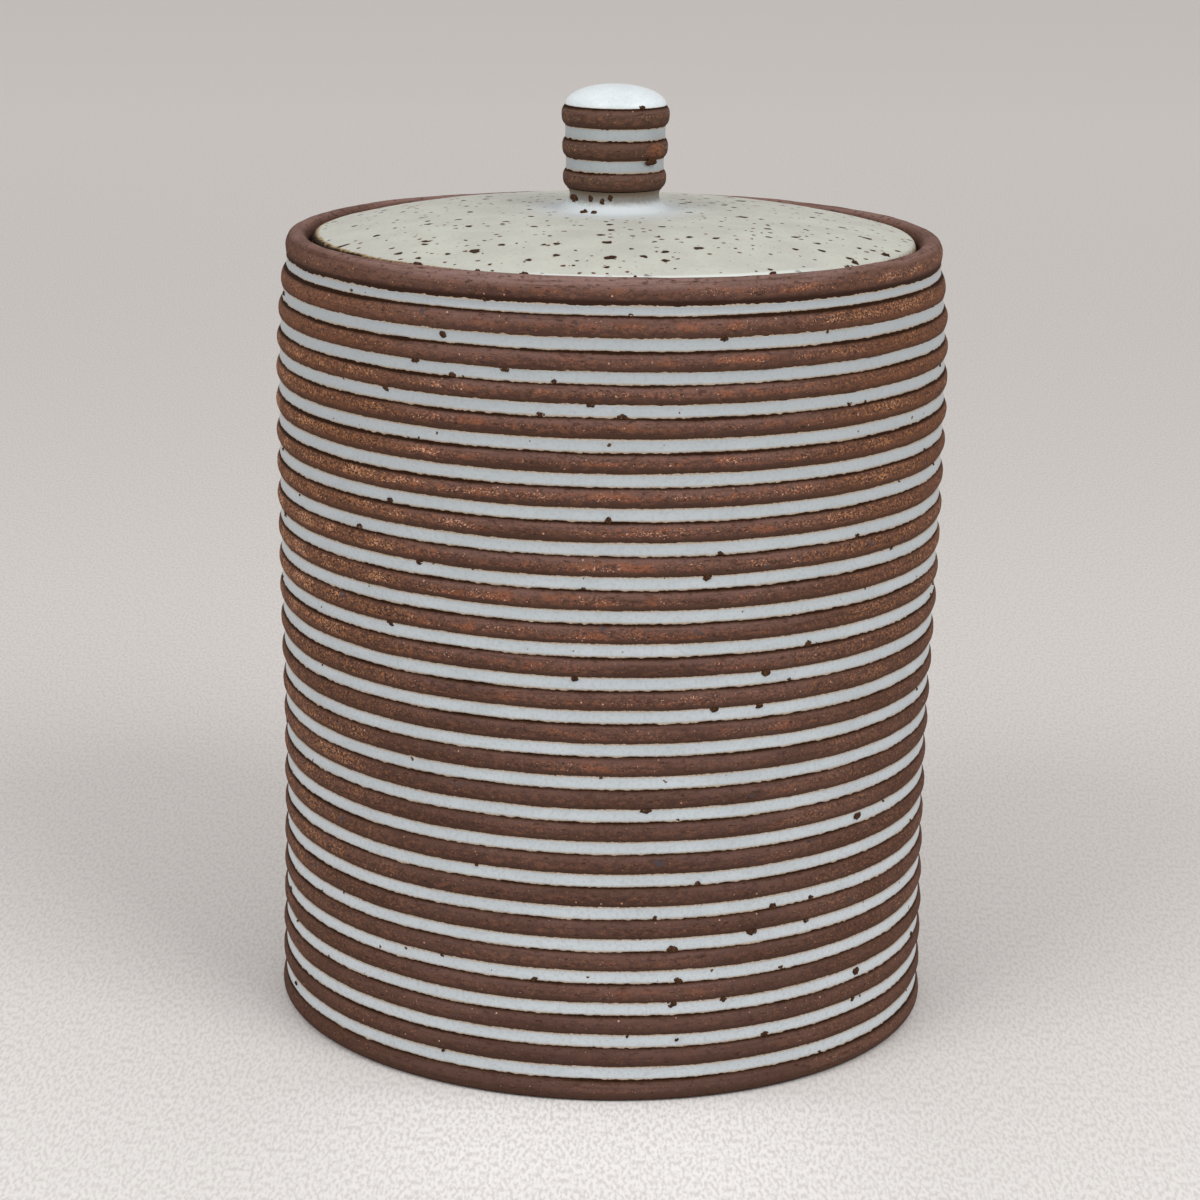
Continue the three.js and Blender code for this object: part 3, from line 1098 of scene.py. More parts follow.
@dataclass
class JarBody:
    """The jar's clay: a foot, a wall of beads and grooves, a rolled rim, a ledge for the lid and a floor."""

    finish: Stoneware
    bead: BeadForm = BeadForm(height=1.05, fullness=2.3, steps=7)
    crest_over_glaze: float = 1.25   # crests over the frame's glaze faces
    band_below: float = 1.85         # middle of a band to its lower glaze line
    band_above: float = 1.5          # and to its upper one, under the next bead
    top_band_below: float = 1.35     # the top band is narrower
    top_band_above: float = 1.1
    narrow_from: float = 178.0       # above this height the beads hang over the glaze
    narrow_within: float = 20.0
    narrow_by: float = 0.7
    trough_half: float = 0.9
    trough_depth: float = 1.95
    trough_lip: float = 0.3          # least height from a trough to the bead over it
    foot_ring: float = 12.0
    foot_recess: float = 1.5
    foot_round: float = 2.6
    foot_place: float = 0.1          # the foot looks like a bead's lower part
    foot_ridges: Ridges = (0.25, 5)
    rim_wall: float = 6.6
    rim_round: float = 4.0
    rim_set_in: float = 0.6          # rim inside the top band's crests
    rim_place_first: float = 0.35    # the rim looks like a bead from here up
    rim_place_step: float = 0.13
    rim_place_last: float = 0.82
    seat_depth: float = 7.6
    seat_fillet: float = 0.8
    seat_gap: float = 0.8            # round the lid
    ledge_width: float = 8.2
    ledge_thickness: float = 4.5
    ledge_chamfer: float = 0.5
    ledge_flare: float = 9.0
    ledge_ridges: Ridges = (0.15, 2)
    liner_gap: float = 0.3
    floor: float = 9.0
    floor_round: float = 12.0
    uneven: Range = (2.0, 9.0)       # heights from the true foot to the uneven wall
    segments: int = 312

    def __post_init__(self) -> None:
        """Reads the bands and the overall sizes from the frame."""
        self.bands = []
        for node in sorted(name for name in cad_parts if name.startswith("glaze_band_")):
            glaze = Extent.of(node)
            self.bands.append(Band(node, glaze.middle, glaze.radius + self.crest_over_glaze))
        self.height = Extent.of("jar_body").top
        self.foot_radius = self.bands[0].crest
        self.rim_radius = self.bands[-1].crest - self.rim_set_in
        self.recess_radius = Extent.of("lid_plate").radius + self.seat_gap
        self.inner_radius = Extent.of("liner_glaze").radius + self.liner_gap

    def crest(self, height: float) -> float:
        """Crest radius of the beads at a height, between the bands' own."""
        for lower, upper in zip(self.bands, self.bands[1:]):
            if lower.height <= height <= upper.height:
                share = (height - lower.height) / (upper.height - lower.height)
                return lower.crest + (upper.crest - lower.crest) * share
        return self.bands[0].crest if height < self.bands[0].height else self.bands[-1].crest

    def upper_line(self, band: Band) -> float:
        """Height of the lower edge of the bead over a band."""
        share = min(1.0, max(0.0, (band.height - self.narrow_from) / self.narrow_within))
        return band.height + self.band_above - self.narrow_by * share

    def reaches(self, band: Band) -> Range:
        """Distances from a band's middle down and up to the edges of its glaze."""
        if band is self.bands[-1]:
            return self.top_band_below, self.top_band_above
        return self.band_below, self.band_above

    def outside(self) -> Profile:
        """The foot and the beaded wall, from the table up to the top band's upper glaze line."""
        top = self.bands[0].height - self.band_below
        middle = (self.foot_radius - self.foot_round, self.foot_round)
        rounded = arc(middle, self.foot_round, self.foot_round, -90, 0, 6)
        lowest = self.bead.between(2 * self.foot_round - top, top, self.crest)
        marks = [(point, self.foot_place) for point in rounded]
        marks += [(point, place) for point, place in lowest if point[1] > self.foot_round]
        for band, over in zip(self.bands, [*self.bands[1:], None]):
            line = self.upper_line(band)
            trough = band.crest - self.trough_depth
            marks.append(((trough, band.height - self.trough_half), 1.0))
            marks.append(((trough, min(band.height + self.trough_half, line - self.trough_lip)), 0.0))
            if over:
                marks += self.bead.between(line, over.height - self.reaches(over)[0], self.crest)
        last = self.bands[-1]
        return [*marks, ((last.crest - self.bead.height, self.upper_line(last)), 0.0)]

    def inside(self) -> Profile:
        """The rolled rim, the ledge, the inside wall and the floor, down to the axis."""
        ledge = self.height - self.seat_depth
        under_ledge = ledge - self.ledge_thickness
        throat = self.recess_radius - self.ledge_width
        fillet = self.seat_fillet
        middle = (self.rim_radius - self.rim_wall / 2, self.height - self.rim_round)
        roll = arc(middle, self.rim_wall / 2, self.rim_round, -12, 180, 16)
        marks = []
        for step, point in enumerate(roll):
            place = self.rim_place_first + self.rim_place_step * step
            marks.append((point, min(self.rim_place_last, place)))
        rest = arc((self.recess_radius - fillet, ledge + fillet), fillet, fillet, 0, -90, 4)
        rest += arc((throat + fillet, ledge - fillet), fillet, fillet, 90, 180, 4)
        rest += [(throat, under_ledge)]
        flare = (throat + self.ledge_chamfer, under_ledge - self.ledge_chamfer)
        rest += ripple(flare, (self.inner_radius, under_ledge - self.ledge_flare), *self.ledge_ridges)
        corner = (self.inner_radius - self.floor_round, self.floor + self.floor_round)
        rest += arc(corner, self.floor_round, self.floor_round, 0, -90, 8)
        rest += [(0.0, self.floor)]
        return marks + [(point, PLAIN) for point in rest]

    def underside(self) -> Profile:
        """The turned recess under the foot, from the axis out to the foot ring."""
        ring = self.foot_radius - self.foot_ring
        edge = (ring - self.foot_recess, self.foot_recess)
        turned = ripple((0.0, self.foot_recess), edge, *self.foot_ridges)
        return [(point, PLAIN) for point in [*turned, (ring, 0.0)]]

    def build(self) -> Piece:
        """Turns the clay and makes it uneven.

        Returns:
            The dressed piece.
        """
        marks = self.underside() + self.outside() + self.inside()
        piece = turn_marked("jar_clay", marks, self.segments, BEAD_PLACE)
        weigh(piece, "wall", [vertex.co.z / MM for vertex in piece.data.vertices], self.uneven)
        WANDER.apply_to(piece, "wall")
        LUMPS.apply_to(piece, "wall")
        words = f"beaded wall with {len(self.bands)} grooves"
        dress(piece, self.finish, Body.JAR, "jar_body", words)
        return piece


@dataclass
class GlazeBands:
    """The rings of glaze in the wall's grooves."""

    body: JarBody
    finish: BandGlaze
    face_depth: float = 1.2          # middle of a band below the crests
    edge_depth: float = 1.0
    back_depth: float = 1.75
    back_share: float = 0.45         # height of the back for that of the face
    roll: float = 0.1                # raised line of glaze beside each edge
    roll_place: float = 0.86
    edge_from: float = 0.87          # places beyond this are ragged
    lap: float = 0.03                # glaze over the clay at its edges
    segments: int = 900

    def section(self) -> Profile:
        """The first ring's closed section about height 0, with places from -1 to 1 on its face."""
        crest = self.body.bands[0].crest
        half = (self.body.band_above + self.body.band_below) / 2
        middle = (self.body.band_above - self.body.band_below) / 2
        face = []
        for place in (-1.0, -self.roll_place, -0.6, -0.2, 0.2, 0.6, self.roll_place, 1.0):
            dip = self.face_depth - (self.face_depth - self.edge_depth) * place ** 2
            roll = self.roll if abs(place) == self.roll_place else 0.0
            face.append(((crest - dip + roll, middle + place * half), place))
        back = crest - self.back_depth
        behind = half * self.back_share
        return [*face, ((back, behind), 0.0), ((back, -behind), 0.0), face[0]]

    def copy(self, model: Piece, band: Band) -> Piece:
        """Copies the first ring to a band.

        Args:
            model: The first ring, level with the table.
            band: The band to fit it to.

        Returns:
            The copy, at the band's place and of its size.
        """
        choose(model)
        bpy.ops.object.duplicate()
        ring = bpy.context.object
        ring.name = band.node.replace("glaze_band", "glaze_ring")
        below, above = self.body.reaches(band)
        wider = band.crest / self.body.bands[0].crest
        taller = (above + below) / (self.body.band_above + self.body.band_below)
        shift = above - self.body.band_above * taller
        bpy.ops.transform.resize(value=(wider, wider, taller))
        bpy.ops.transform.translate(value=(0, 0, (band.height + shift) * MM))
        bpy.ops.object.transform_apply(location=True, rotation=True, scale=True)
        return ring

    def lap_on(self, ring: Piece, clay: Piece) -> None:
        """Lays a ring's two edges on the flanks of the beads beside it."""
        wrap = ring.modifiers.new("lap", "SHRINKWRAP")
        wrap.target = clay
        wrap.wrap_method = "NEAREST_SURFACEPOINT"
        wrap.wrap_mode = "ABOVE_SURFACE"
        wrap.offset = self.lap * MM
        wrap.vertex_group = EDGES
        apply(ring, wrap)

    def build(self, clay: Piece) -> None:
        """Turns the first ring, copies it into every groove and laps its edges on the clay.

        Args:
            clay: The jar's clay.
        """
        model = turn_marked("glaze_ring", self.section(), self.segments, BAND_PLACE)
        weigh_edges(model, self.edge_from)
        for band in self.body.bands:
            ring = self.copy(model, band)
            WANDER.apply_to(ring)
            WIDTHS.apply_to(ring, EDGES)
            RAGS.apply_to(ring, EDGES)
            self.lap_on(ring, clay)
            dress(ring, self.finish, Body.JAR, band.node, "glaze in a groove")
        bpy.data.objects.remove(model)


@dataclass
class Liner:
    """The coat of glaze inside the jar, with the ridges that throwing left."""

    finish: LinerGlaze
    coat: float = 0.7
    corner: float = 11.7
    ridge: float = 0.3
    wall_ridges: int = 22
    floor_ridges: int = 6
    floor_start: float = 1.0         # ridges begin this far inside the corner
    floor_end: float = 8.0           # and end at this radius
    segments: int = 192

    def build(self) -> None:
        """Turns the coat."""
        liner = Extent.of("liner_glaze")
        wall = liner.radius - self.coat
        floor = liner.bottom + self.coat
        middle = (liner.radius - self.corner, liner.bottom + self.corner)
        inner = self.corner - self.coat
        outline = [(0.0, liner.bottom), *arc(middle, self.corner, self.corner, -90, 0, 8)]
        outline += [(liner.radius, liner.top)]
        outline += ripple((wall, liner.top), (wall, middle[1]), -self.ridge, self.wall_ridges)
        outline += arc(middle, inner, inner, 0, -90, 8)[1:]
        start = (middle[0] - self.floor_start, floor)
        outline += ripple(start, (self.floor_end, floor), -self.ridge, self.floor_ridges)
        outline += [(0.0, floor)]
        piece = turn("jar_liner", outline, self.segments)
        dress(piece, self.finish, Body.JAR, "liner_glaze", "glaze inside the jar")


# The lid and its knob


@dataclass
class Lid:
    """The lid: a domed clay plate, its speckled glaze and the glaze in the hollow underneath."""

    stoneware: Stoneware
    glaze: LidGlaze
    liner: LinerGlaze
    edge_height: float = 6.5         # seat to the lowest part of the dome
    edge_round: float = 2.0
    seat_round: float = 1.5
    rise: float = 6.9
    fullness: float = 3.2
    hollow: float = 6.0
    hollow_fullness: float = 2.8
    hollow_steps: int = 12
    under_reach: Range = (0.72, 0.74)    # shares of the hollow under the two faces of its glaze
    seat_ring: float = 9.5
    neck_radius: float = 12.6
    neck_coat: float = 1.0           # glaze round the neck's clay
    neck_fillet: float = 4.0
    neck_waist: float = 0.1          # narrower than the frame's neck
    neck_flare: float = 0.6          # wider under the lowest bead
    neck_steps: int = 6
    coat: float = 0.7
    gap: float = 0.3
    dome_steps: int = 36
    segments: int = 320
    under_segments: int = 160

    def __post_init__(self) -> None:
        """Reads the lid's radius and levels from the frame."""
        plate = Extent.of("lid_plate")
        self.radius = plate.radius
        self.seat = plate.bottom
        self.neck_top = Extent.of("lid_glaze").top
        self.neck_clay = self.neck_radius - self.neck_coat
        self.top_edge = self.seat + self.edge_height
        self.dome_radius = self.radius - self.edge_round
        self.fillet_radius = self.neck_radius + self.neck_fillet
        self.edge = (self.dome_radius, self.top_edge - self.edge_round)

    def dome(self, radius: float) -> float:
        """Glazed height of the dome at a radius."""
        return self.top_edge + self.rise * (1 - (radius / self.dome_radius) ** self.fullness)

    def dome_line(self, depth: float) -> list[Point]:
        """The dome from the neck's fillet out to the edge, sunk by a depth below the glaze."""
        points = []
        for step in range(1, self.dome_steps + 1):
            radius = self.fillet_radius + (self.dome_radius - self.fillet_radius) * step / self.dome_steps
            points.append((radius, self.dome(radius) - depth))
        return points

    def hollow_line(self, depth: float, reach: float) -> list[Point]:
        """The hollow underneath from the axis out to a share of its radius, a depth below the clay."""
        width = self.radius - self.seat_ring
        points = []
        for step in range(self.hollow_steps + 1):
            share = reach * step / self.hollow_steps
            rise = self.hollow * (1 - share ** self.hollow_fullness)
            points.append((width * share, self.seat + rise - depth))
        return points

    def build_plate(self) -> None:
        """Turns the clay plate."""
        buried = self.coat + self.gap
        step = self.edge[1] - self.gap
        seat = (self.radius - self.seat_round, self.seat + self.seat_round)
        outline = self.hollow_line(0.0, 1.0)
        outline += arc(seat, self.seat_round, self.seat_round, -90, 0, 5)
        outline += [(self.radius, step), (self.radius - buried, step)]
        outline += arc(self.edge, self.edge_round - buried, self.edge_round - buried, 0, 90, 5)
        outline += self.dome_line(buried)[::-3]
        outline += [(0.0, self.dome(self.fillet_radius) - buried)]
        marks = [(point, PLAIN) for point in outline]
        piece = turn_marked("lid_clay", marks, self.segments, BEAD_PLACE)
        dress(piece, self.stoneware, Body.LID, "lid_plate")

    def build_glaze(self) -> None:
        """Turns the glaze over the lid, from the top of the neck to the rounded edge."""
        fillet = (self.fillet_radius, self.dome(self.fillet_radius) + self.neck_fillet)
        waist = self.neck_radius - self.neck_waist
        under = self.neck_fillet + self.coat
        thin = self.edge_round - self.coat
        start = (self.neck_clay, self.neck_top)
        outline = [start, *arc(fillet, under, under, 180, 270, 10), *self.dome_line(self.coat)]
        outline += arc(self.edge, thin, thin, 90, 0, 6)
        outline += arc(self.edge, self.edge_round, self.edge_round, 0, 90, 8)
        outline += self.dome_line(0.0)[::-1][1:]
        outline += arc(fillet, self.fillet_radius - waist, self.neck_fillet, 270, 180, 12)
        for step in range(1, self.neck_steps + 1):
            share = step / self.neck_steps
            radius = waist + (self.neck_flare + self.neck_waist) * share ** 2
            outline.append((radius, fillet[1] + (self.neck_top - fillet[1]) * share))
        outline += [start]
        piece = turn("lid_glaze_coat", outline, self.segments)
        POOLS.apply_to(piece)
        dress(piece, self.glaze, Body.LID, "lid_glaze")

    def build_under_glaze(self) -> None:
        """Turns the glaze in the hollow underneath."""
        lower, upper = self.under_reach
        outline = self.hollow_line(self.coat + self.gap, lower) + self.hollow_line(self.gap, upper)[::-1]
        piece = turn("lid_liner", outline, self.under_segments)
        dress(piece, self.liner, Body.LID, "lid_under_glaze")


@dataclass
class Knob:
    """The knob: three clay beads on a neck, two rings of glaze between them and a domed cap of glaze."""

    stoneware: Stoneware
    glaze: KnobGlaze
    cap_glaze: CapGlaze
    lid: Lid
    bead: BeadForm = BeadForm(height=0.95, fullness=3.0, steps=9)
    crest_radius: float = 14.95
    taper: float = 0.035
    foot_spread: float = 3.0
    foot_height: float = 3.5
    neck_gap: float = 0.2            # lid's glaze to the lowest bead
    groove_half: float = 1.62
    trough_depth: float = 1.9
    trough_half: float = 0.8
    ring_depth: float = 0.95         # middle of a ring below the crests
    ring_swell: float = 0.08         # its edges over its middle
    ring_back: float = 1.7
    ring_back_half: float = 0.7
    ring_lap: float = 0.05
    ring_edge_from: float = 0.86     # places beyond this are ragged
    ring_places: tuple[float, ...] = (-1.0, -0.85, -0.5, 0.0, 0.5, 0.85, 1.0)
    cap_height: float = 5.5
    cap_radius: float = 13.9
    cap_coat: float = 0.8
    cap_clay: float = 1.0            # clay below the cap's face
    cap_gap: float = 0.1             # top bead to the cap
    cap_edge_step: float = 0.5       # the cap's edge colour fades by this at each step up
    segments: int = 192
    ring_segments: int = 320

    def __post_init__(self) -> None:
        """Reads the levels of the cap and the grooves from the frame."""
        self.cap_level = Extent.of("knob_cap_glaze").bottom
        self.grooves = {node: Extent.of(node).middle for node in ("knob_glaze_lower", "knob_glaze_upper")}

    def crest(self, height: float) -> float:
        """Crest radius of the beads at a height."""
        return self.crest_radius - self.taper * (self.cap_level - height)

    def dome(self, depth: float, start: float, end: float, steps: int) -> list[Point]:
        """The cap's dome, sunk by a depth, from one angle to another."""
        return arc((0.0, self.cap_level), self.cap_radius - depth, self.cap_height - depth, start, end, steps)

    def build_clay(self) -> None:
        """Turns the knob's clay."""
        foot = Extent.of("knob").bottom
        neck = self.lid.neck_clay
        stem = [(0.0, foot), (neck + self.foot_spread, foot)]
        stem += [(neck, foot + self.foot_height), (neck, self.lid.neck_top)]
        marks = [(point, 0.0) for point in stem]
        bottom = self.lid.neck_top + self.neck_gap
        for groove in self.grooves.values():
            trough = self.crest(groove) - self.trough_depth
            marks += self.bead.between(bottom, groove - self.groove_half, self.crest)
            marks += [((trough, groove - self.trough_half), 1.0), ((trough, groove + self.trough_half), 0.0)]
            bottom = groove + self.groove_half
        marks += self.bead.between(bottom, self.cap_level - self.cap_gap, self.crest)
        marks += [(point, 1.0) for point in self.dome(self.cap_clay, 0, 90, 8)]
        piece = turn_marked("knob_clay", marks, self.segments, BEAD_PLACE)
        dress(piece, self.stoneware, Body.LID, "knob")

    def build_rings(self) -> None:
        """Turns the two rings of glaze between the beads."""
        for node, groove in self.grooves.items():
            crest = self.crest(groove)
            half = self.groove_half + self.ring_lap
            back = crest - self.ring_back
            marks = []
            for place in self.ring_places:
                dip = self.ring_depth - self.ring_swell * place ** 2
                marks.append(((crest - dip, groove + place * half), place))
            for level in (groove + self.ring_back_half, groove - self.ring_back_half):
                marks.append(((back, level), 0.0))
            marks.append(marks[0])
            ring = turn_marked(node.replace("glaze", "ring"), marks, self.ring_segments, BAND_PLACE)
            weigh_edges(ring, self.ring_edge_from)
            RAGS.apply_to(ring, EDGES)
            dress(ring, self.glaze, Body.LID, node)

    def build_cap(self) -> None:
        """Turns the domed cap of glaze."""
        marks = [(point, 0.0) for point in self.dome(self.cap_coat, 90, 0, 12)]
        for step, point in enumerate(self.dome(0.0, 0, 90, 24)):
            marks.append((point, max(0.0, 1.0 - self.cap_edge_step * step)))
        piece = turn_marked("knob_cap", marks, self.segments, BAND_PLACE)
        dress(piece, self.cap_glaze, Body.LID, "knob_cap_glaze")


# Iron that burst through the glaze


@dataclass(frozen=True)
class Burst:
    """A lump of iron on a band.

    Attributes:
        band: Number of the band, from the foot up.
        turn: Degrees to the right of the front.
        edge: Edge of the band that it sits on.
        width: Its width.
    """

    band: int
    turn: float
    edge: Edge
    width: float


@dataclass(frozen=True)
class Mark:
    """A dark mark on a surface.

    Attributes:
        turn: Degrees to the right of the front.
        radius: Distance from the upright axis.
        height: Height above the table.
        lean: Degrees from straight out to straight up of the surface there.
        width: Its width round the axis.
        length: Its length across that.
    """

    turn: float
    radius: float
    height: float
    lean: float
    width: float
    length: float


class LumpBuilder:
    """Models one lump, copies it to many places and joins the copies."""

    def __init__(self, thickness: float) -> None:
        """Models the lump.

        Args:
            thickness: Thickness of every copy.
        """
        self.thickness = thickness
        bpy.ops.object.select_all(action="DESELECT")
        bpy.ops.mesh.primitive_ico_sphere_add(subdivisions=3, radius=MM / 2)
        self.model = bpy.context.object
        self.copies: list[Piece] = []

    def add(self, mark: Mark) -> None:
        """Copies the lump to the place of a mark.

        Args:
            mark: Its place, lean and size.
        """
        angle = math.radians(mark.turn)
        tilt = math.radians(mark.lean)
        level = Vector((math.sin(angle), -math.cos(angle), 0))
        along = Vector((math.cos(angle), math.sin(angle), 0))
        out = level * math.cos(tilt) + Vector((0, 0, math.sin(tilt)))
        turned = Matrix((along, out.cross(along), out)).transposed().to_4x4()
        sizes = Matrix.Diagonal((mark.width, mark.length, self.thickness, 1))
        spot = level * mark.radius * MM + Vector((0, 0, mark.height * MM))
        copy = bpy.data.objects.new("lump", self.model.data.copy())
        bpy.context.scene.collection.objects.link(copy)
        copy.matrix_world = Matrix.Translation(spot) @ turned @ sizes
        self.copies.append(copy)

    def join(self, name: str, finish: Finish, body: Body, slot: Slot) -> Piece:
        """Joins the copies into one dressed piece and roughens it.

        Args:
            name: Name of the piece.
            finish: Its finish.
            body: The body that carries it.
            slot: Its material slot; not used.

        Returns:
            The piece.
        """
        bpy.data.objects.remove(self.model)
        bpy.ops.object.select_all(action="DESELECT")
        for copy in self.copies:
            copy.select_set(True)
        bpy.context.view_layer.objects.active = self.copies[0]
        bpy.ops.object.join()
        piece = bpy.context.object
        piece.name = name
        bpy.ops.object.transform_apply(location=True, rotation=True, scale=True)
        GRIT.apply_to(piece)
        bpy.ops.object.shade_smooth()
        dress(piece, finish, body, words=f"{len(self.copies)} lumps of iron")
        return piece


@dataclass
class IronBursts:
    """The larger lumps of iron: those that stand out in front, and others of the kind all round."""

    body: JarBody
    finish: BurntIron
    seed: int = 12
    others: int = 70
    other_turns: Range = (70, 290)   # degrees, round the back
    other_widths: Range = (1.2, 2.8)
    small: int = 60
    small_turns: Range = (0, 360)
    small_widths: Range = (0.6, 1.2)
    lengths: Range = (0.5, 0.85)     # shares of the width
    sunk: float = 1.05               # middle of a lump below the crests
    thickness: float = 0.6
    front: tuple[Burst, ...] = (
        Burst(24, -21, UPPER, 1.6), Burst(24, 3, LOWER, 1.8), Burst(23, -28, MIDDLE, 2.2),
        Burst(23, 18, UPPER, 2.2), Burst(22, -33, UPPER, 2.6), Burst(22, -26, LOWER, 2.0),
        Burst(22, -17, UPPER, 2.8), Burst(22, -9, LOWER, 1.8), Burst(21, -39, UPPER, 2.2),
        Burst(21, -11, LOWER, 2.0), Burst(21, -3, UPPER, 2.2), Burst(21, 2, LOWER, 2.6),
        Burst(21, 42, LOWER, 1.6), Burst(18, -38, LOWER, 2.4), Burst(18, 0, LOWER, 1.9),
        Burst(17, -45, LOWER, 2.4), Burst(17, 18, LOWER, 1.9), Burst(17, 45, LOWER, 1.9),
        Burst(16, -32, UPPER, 2.6), Burst(16, 16, UPPER, 2.6), Burst(14, -38, UPPER, 2.1),
        Burst(14, 35, LOWER, 2.2), Burst(13, -5, UPPER, 2.0), Burst(13, 27, UPPER, 2.8),
        Burst(12, 18, UPPER, 2.4), Burst(12, 26, UPPER, 2.2), Burst(9, 7, UPPER, 2.7),
        Burst(8, 49, MIDDLE, 2.6), Burst(7, 16, LOWER, 1.8), Burst(6, 9, LOWER, 1.6),
        Burst(6, 30, LOWER, 2.4), Burst(6, 38, LOWER, 2.0), Burst(5, 12, LOWER, 3.0),
        Burst(5, 26, UPPER, 3.0), Burst(5, 37, UPPER, 1.8), Burst(4, -11, LOWER, 2.0),
        Burst(4, 13, LOWER, 2.4), Burst(4, 32, LOWER, 1.8), Burst(3, 12, UPPER, 2.4),
        Burst(3, 21, UPPER, 1.9), Burst(3, 50, MIDDLE, 3.0), Burst(2, 13, MIDDLE, 1.2),
        Burst(2, 29, LOWER, 2.6), Burst(2, 49, UPPER, 1.8),
    )

    def all_round(self) -> list[Burst]:
        """Adds bursts on the sides and back to those in front."""
        draw = random.Random(self.seed)
        bands = len(self.body.bands)
        found = list(self.front)
        for _ in range(self.others):
            band = draw.randint(1, bands)
            angle = draw.uniform(*self.other_turns)
            edge = draw.choice((LOWER, UPPER, UPPER, MIDDLE))
            found.append(Burst(band, angle, edge, draw.uniform(*self.other_widths)))
        for _ in range(self.small):
            edge = draw.choice((LOWER, UPPER))
            band = draw.randint(1, bands)
            angle = draw.uniform(*self.small_turns)
            found.append(Burst(band, angle, edge, draw.uniform(*self.small_widths)))
        return found

    def build(self) -> None:
        """Places the lumps on the bands."""
        lumps = LumpBuilder(self.thickness)
        draw = random.Random(self.seed + 1)
        for burst in self.all_round():
            band = self.body.bands[burst.band - 1]
            reach = self.body.band_above if burst.edge is UPPER else self.body.band_below
            height = band.height + burst.edge.value * reach
            length = burst.width * draw.uniform(*self.lengths)
            lumps.add(Mark(burst.turn, band.crest - self.sunk, height, 0.0, burst.width, length))
        piece = lumps.join("jar_iron_bursts", self.finish, Body.JAR, Slot.BANDS)
        WANDER.apply_to(piece)


@dataclass
class LidMarks:
    """Dark marks on the lid: ovals on the knob's neck, chips on the lid's edge and a drip on the knob."""

    finish: BurntIron
    thickness: float = 0.9
    marks: tuple[Mark, ...] = (
        Mark(-63, 12.3, 229.4, 0, 4.4, 2.9), Mark(-31, 12.3, 230.2, 0, 1.5, 1.8),
        Mark(-15, 12.3, 229.2, 0, 1.5, 2.3), Mark(-5, 12.4, 230.7, 0, 1.4, 1.7),
        Mark(-34, 14.6, 226.8, 60, 2.0, 1.7), Mark(-22, 14.6, 226.8, 60, 1.7, 1.6),
        Mark(44, 14.2, 240.4, -20, 4.2, 2.2), Mark(31, 13.7, 255.3, 20, 1.8, 1.0),
        Mark(-38, 81.9, 219.4, 65, 3.2, 1.8), Mark(-25, 81.9, 219.4, 65, 1.6, 1.4),
        Mark(-16, 81.9, 219.4, 65, 2.4, 1.6), Mark(4, 82.1, 219.3, 60, 1.0, 1.0),
        Mark(30, 81.9, 219.4, 65, 2.0, 1.6), Mark(51, 81.3, 219.6, 72, 1.5, 2.2),
        Mark(63, 81.0, 219.7, 74, 1.2, 2.4), Mark(150, 81.9, 219.4, 65, 2.2, 1.6),
        Mark(205, 81.9, 219.4, 65, 1.8, 1.4), Mark(120, 12.3, 229.6, 0, 2.0, 2.4),
        Mark(190, 12.3, 230.0, 0, 1.8, 2.0),
    )

    def build(self) -> None:
        """Places the marks."""
        lumps = LumpBuilder(self.thickness)
        for mark in self.marks:
            lumps.add(mark)
        lumps.join("lid_iron_marks", self.finish, Body.LID, Slot.LID)


# The studio


@dataclass(frozen=True)
class Lamp:
    """A soft lamp: its name, its place in metres and its power in watts."""

    name: str
    place: tuple[float, float, float]
    power: float


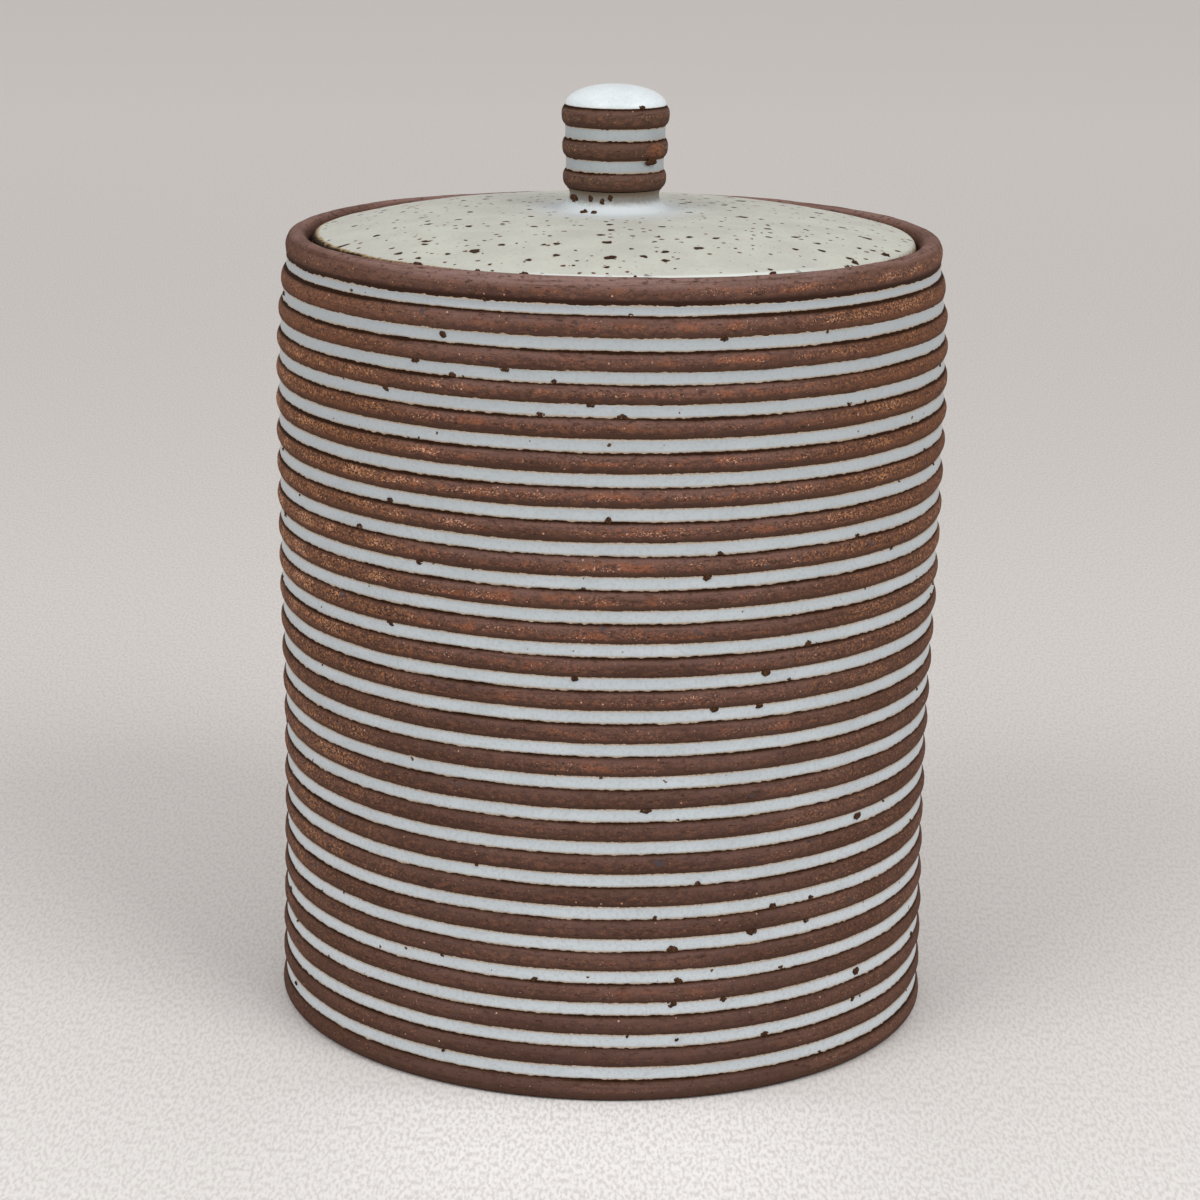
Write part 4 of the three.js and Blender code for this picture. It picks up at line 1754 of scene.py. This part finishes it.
@dataclass
class Studio:
    """A pale floor with painted light on it, soft light from above and both sides of the camera, and the
    camera, in metres.
    """

    floor_half: float = 9.0
    floor_colour: Colour = (216, 211, 207)
    # floor colours by distance: painted light, lighter near the camera and far off
    floor_near: Colour = (230, 227, 224)
    floor_far: Colour = (238, 232, 227)
    # painted light on the floor just in front of the jar, where its shadow would fall
    floor_lit: Colour = (244, 241, 239)
    floor_shade: Colour = (196, 190, 186)
    near: Range = (0.15, -0.25)          # Y over which the floor takes each colour
    far: Range = (0.6, 2.6)
    lit_from: Range = (-0.08, -0.1)
    lit_until: Range = (-0.2, -0.12)
    lit_across: Range = (0.1, 0.02)      # X from plain to painted light
    weave: tuple[float, float, float] = (1.0, 0.3, 1.0)
    thread: float = 0.9                  # millimetres
    sky_strength: float = 0.66
    sky_seen: Colour = (203, 199, 196)
    lamps: tuple[Lamp, ...] = (
        Lamp("right lamp", (1.1, -1.15, 1.5), 17.8),
        Lamp("left lamp", (-1.1, -1.15, 1.5), 13.7),
    )
    lamp_size: tuple[float, float] = (1.0, 1.0)
    lamp_aim: tuple[float, float, float] = (0.0, 0.0, 0.1)
    camera_place: tuple[float, float, float] = (0.0, -0.9005, 0.3427)
    lens: float = 97.80                  # millimetres, as the sensor
    sensor: float = 36.0
    look_down: float = 14.235            # degrees
    look_left: float = 1.432
    lean: float = 0.666
    off_centre: float = 0.06             # the lens sits to one side, as a share of the picture's width

    def build_floor(self) -> None:
        """Lays the floor, its colour painted lighter near the camera, far off and just in front of the jar.
        """
        bpy.ops.object.select_all(action="DESELECT")
        bpy.ops.mesh.primitive_plane_add(size=2 * self.floor_half)
        floor = bpy.context.object
        floor.name = "floor"
        material = bpy.data.materials.new("floor cloth")
        material.use_nodes = True
        graph = Graph(material.node_tree)
        place = graph.node("ShaderNodeTexCoord").outputs["Object"]
        split = graph.node("ShaderNodeSeparateXYZ")
        graph.feed(split.inputs[0], place)
        across, deep, _ = split.outputs
        # painted light in front of the jar's foot
        lit = graph.product(
            graph.span(graph.math("ABSOLUTE", across), *self.lit_across),
            graph.span(deep, *self.lit_from),
            graph.span(deep, *self.lit_until),
        )
        threads = graph.noise(graph.vector("MULTIPLY", place, self.weave), self.thread, 4.0)
        colour = graph.layers(
            self.floor_colour,
            # painted light: lighter near the camera and far off
            (graph.span(deep, *self.near), self.floor_near),
            (graph.span(deep, *self.far), self.floor_far),
            # painted light in front of the jar
            (lit, self.floor_lit),
            (graph.span(threads, 0.4, 0.65, 0.0, 0.6), self.floor_shade),
        )
        shader = material.node_tree.nodes["Principled BSDF"]
        graph.feed(shader.inputs["Base Color"], colour)
        shader.inputs["Roughness"].default_value = 0.95
        shader.inputs["Specular IOR Level"].default_value = 0.1
        floor.data.materials.append(material)

    def build_sky(self) -> None:
        """Sets the even sky, which looks darker than the light it gives."""
        world = bpy.data.worlds.new("soft studio")
        bpy.context.scene.world = world
        world.use_nodes = True
        graph = Graph(world.node_tree)
        sky = world.node_tree.nodes["Background"]
        sky.inputs["Color"].default_value = (1, 1, 1, 1)
        sky.inputs["Strength"].default_value = self.sky_strength
        seen = graph.node("ShaderNodeBackground")
        seen.inputs["Color"].default_value = ink(self.sky_seen)
        seen.inputs["Strength"].default_value = 1.0
        mix = graph.node("ShaderNodeMixShader")
        path = graph.node("ShaderNodeLightPath").outputs
        mirrored = graph.math("MAXIMUM", path["Is Glossy Ray"], path["Is Transmission Ray"])
        graph.feed(mix.inputs[0], graph.math("MAXIMUM", path["Is Camera Ray"], mirrored))
        graph.feed(mix.inputs[1], sky.outputs[0])
        graph.feed(mix.inputs[2], seen.outputs[0])
        graph.feed(world.node_tree.nodes["World Output"].inputs["Surface"], mix.outputs[0])

    def build_lamps(self) -> None:
        """Hangs the lamps and aims them at the jar."""
        for lamp in self.lamps:
            light = bpy.data.lights.new(lamp.name, "AREA")
            light.shape = "RECTANGLE"
            light.size, light.size_y = self.lamp_size
            light.energy = lamp.power
            holder = bpy.data.objects.new(lamp.name, light)
            bpy.context.scene.collection.objects.link(holder)
            holder.location = lamp.place
            aim = Vector(self.lamp_aim) - Vector(lamp.place)
            holder.rotation_euler = aim.to_track_quat("-Z", "Y").to_euler()

    def build_camera(self) -> None:
        """Sets the camera where the photograph was taken from."""
        lens = bpy.data.cameras.new("camera")
        lens.lens = self.lens
        lens.sensor_width = self.sensor
        lens.shift_x = self.off_centre
        camera = bpy.data.objects.new("camera", lens)
        bpy.context.scene.collection.objects.link(camera)
        yaw = Matrix.Rotation(math.radians(self.look_left), 3, "Z")
        pitch = Matrix.Rotation(math.radians(90 - self.look_down), 3, "X")
        roll = Matrix.Rotation(math.radians(self.lean), 3, "Z")
        camera.location = self.camera_place
        camera.rotation_euler = (yaw @ pitch @ roll).to_euler()
        bpy.context.scene.camera = camera
        bpy.context.scene.view_settings.view_transform = "Standard"

    def build(self) -> None:
        """Sets up the whole studio."""
        self.build_floor()
        self.build_sky()
        self.build_lamps()
        self.build_camera()


def main() -> None:
    """Builds the studio, the jar and the lid."""
    logging.basicConfig(level=logging.INFO, format="%(message)s")
    Studio().build()
    effects = SharedEffects()
    stoneware = Stoneware(effects)
    liner_glaze = LinerGlaze(effects)
    iron = BurntIron(effects)
    jar = JarBody(stoneware)
    clay = jar.build()
    GlazeBands(jar, BandGlaze(effects)).build(clay)
    Liner(liner_glaze).build()
    IronBursts(jar, iron).build()
    lid = Lid(stoneware, LidGlaze(effects), liner_glaze)
    lid.build_plate()
    lid.build_glaze()
    lid.build_under_glaze()
    knob = Knob(stoneware, KnobGlaze(effects), CapGlaze(effects), lid)
    knob.build_clay()
    knob.build_rings()
    knob.build_cap()
    LidMarks(iron).build()


if __name__ == "__main__":
    main()
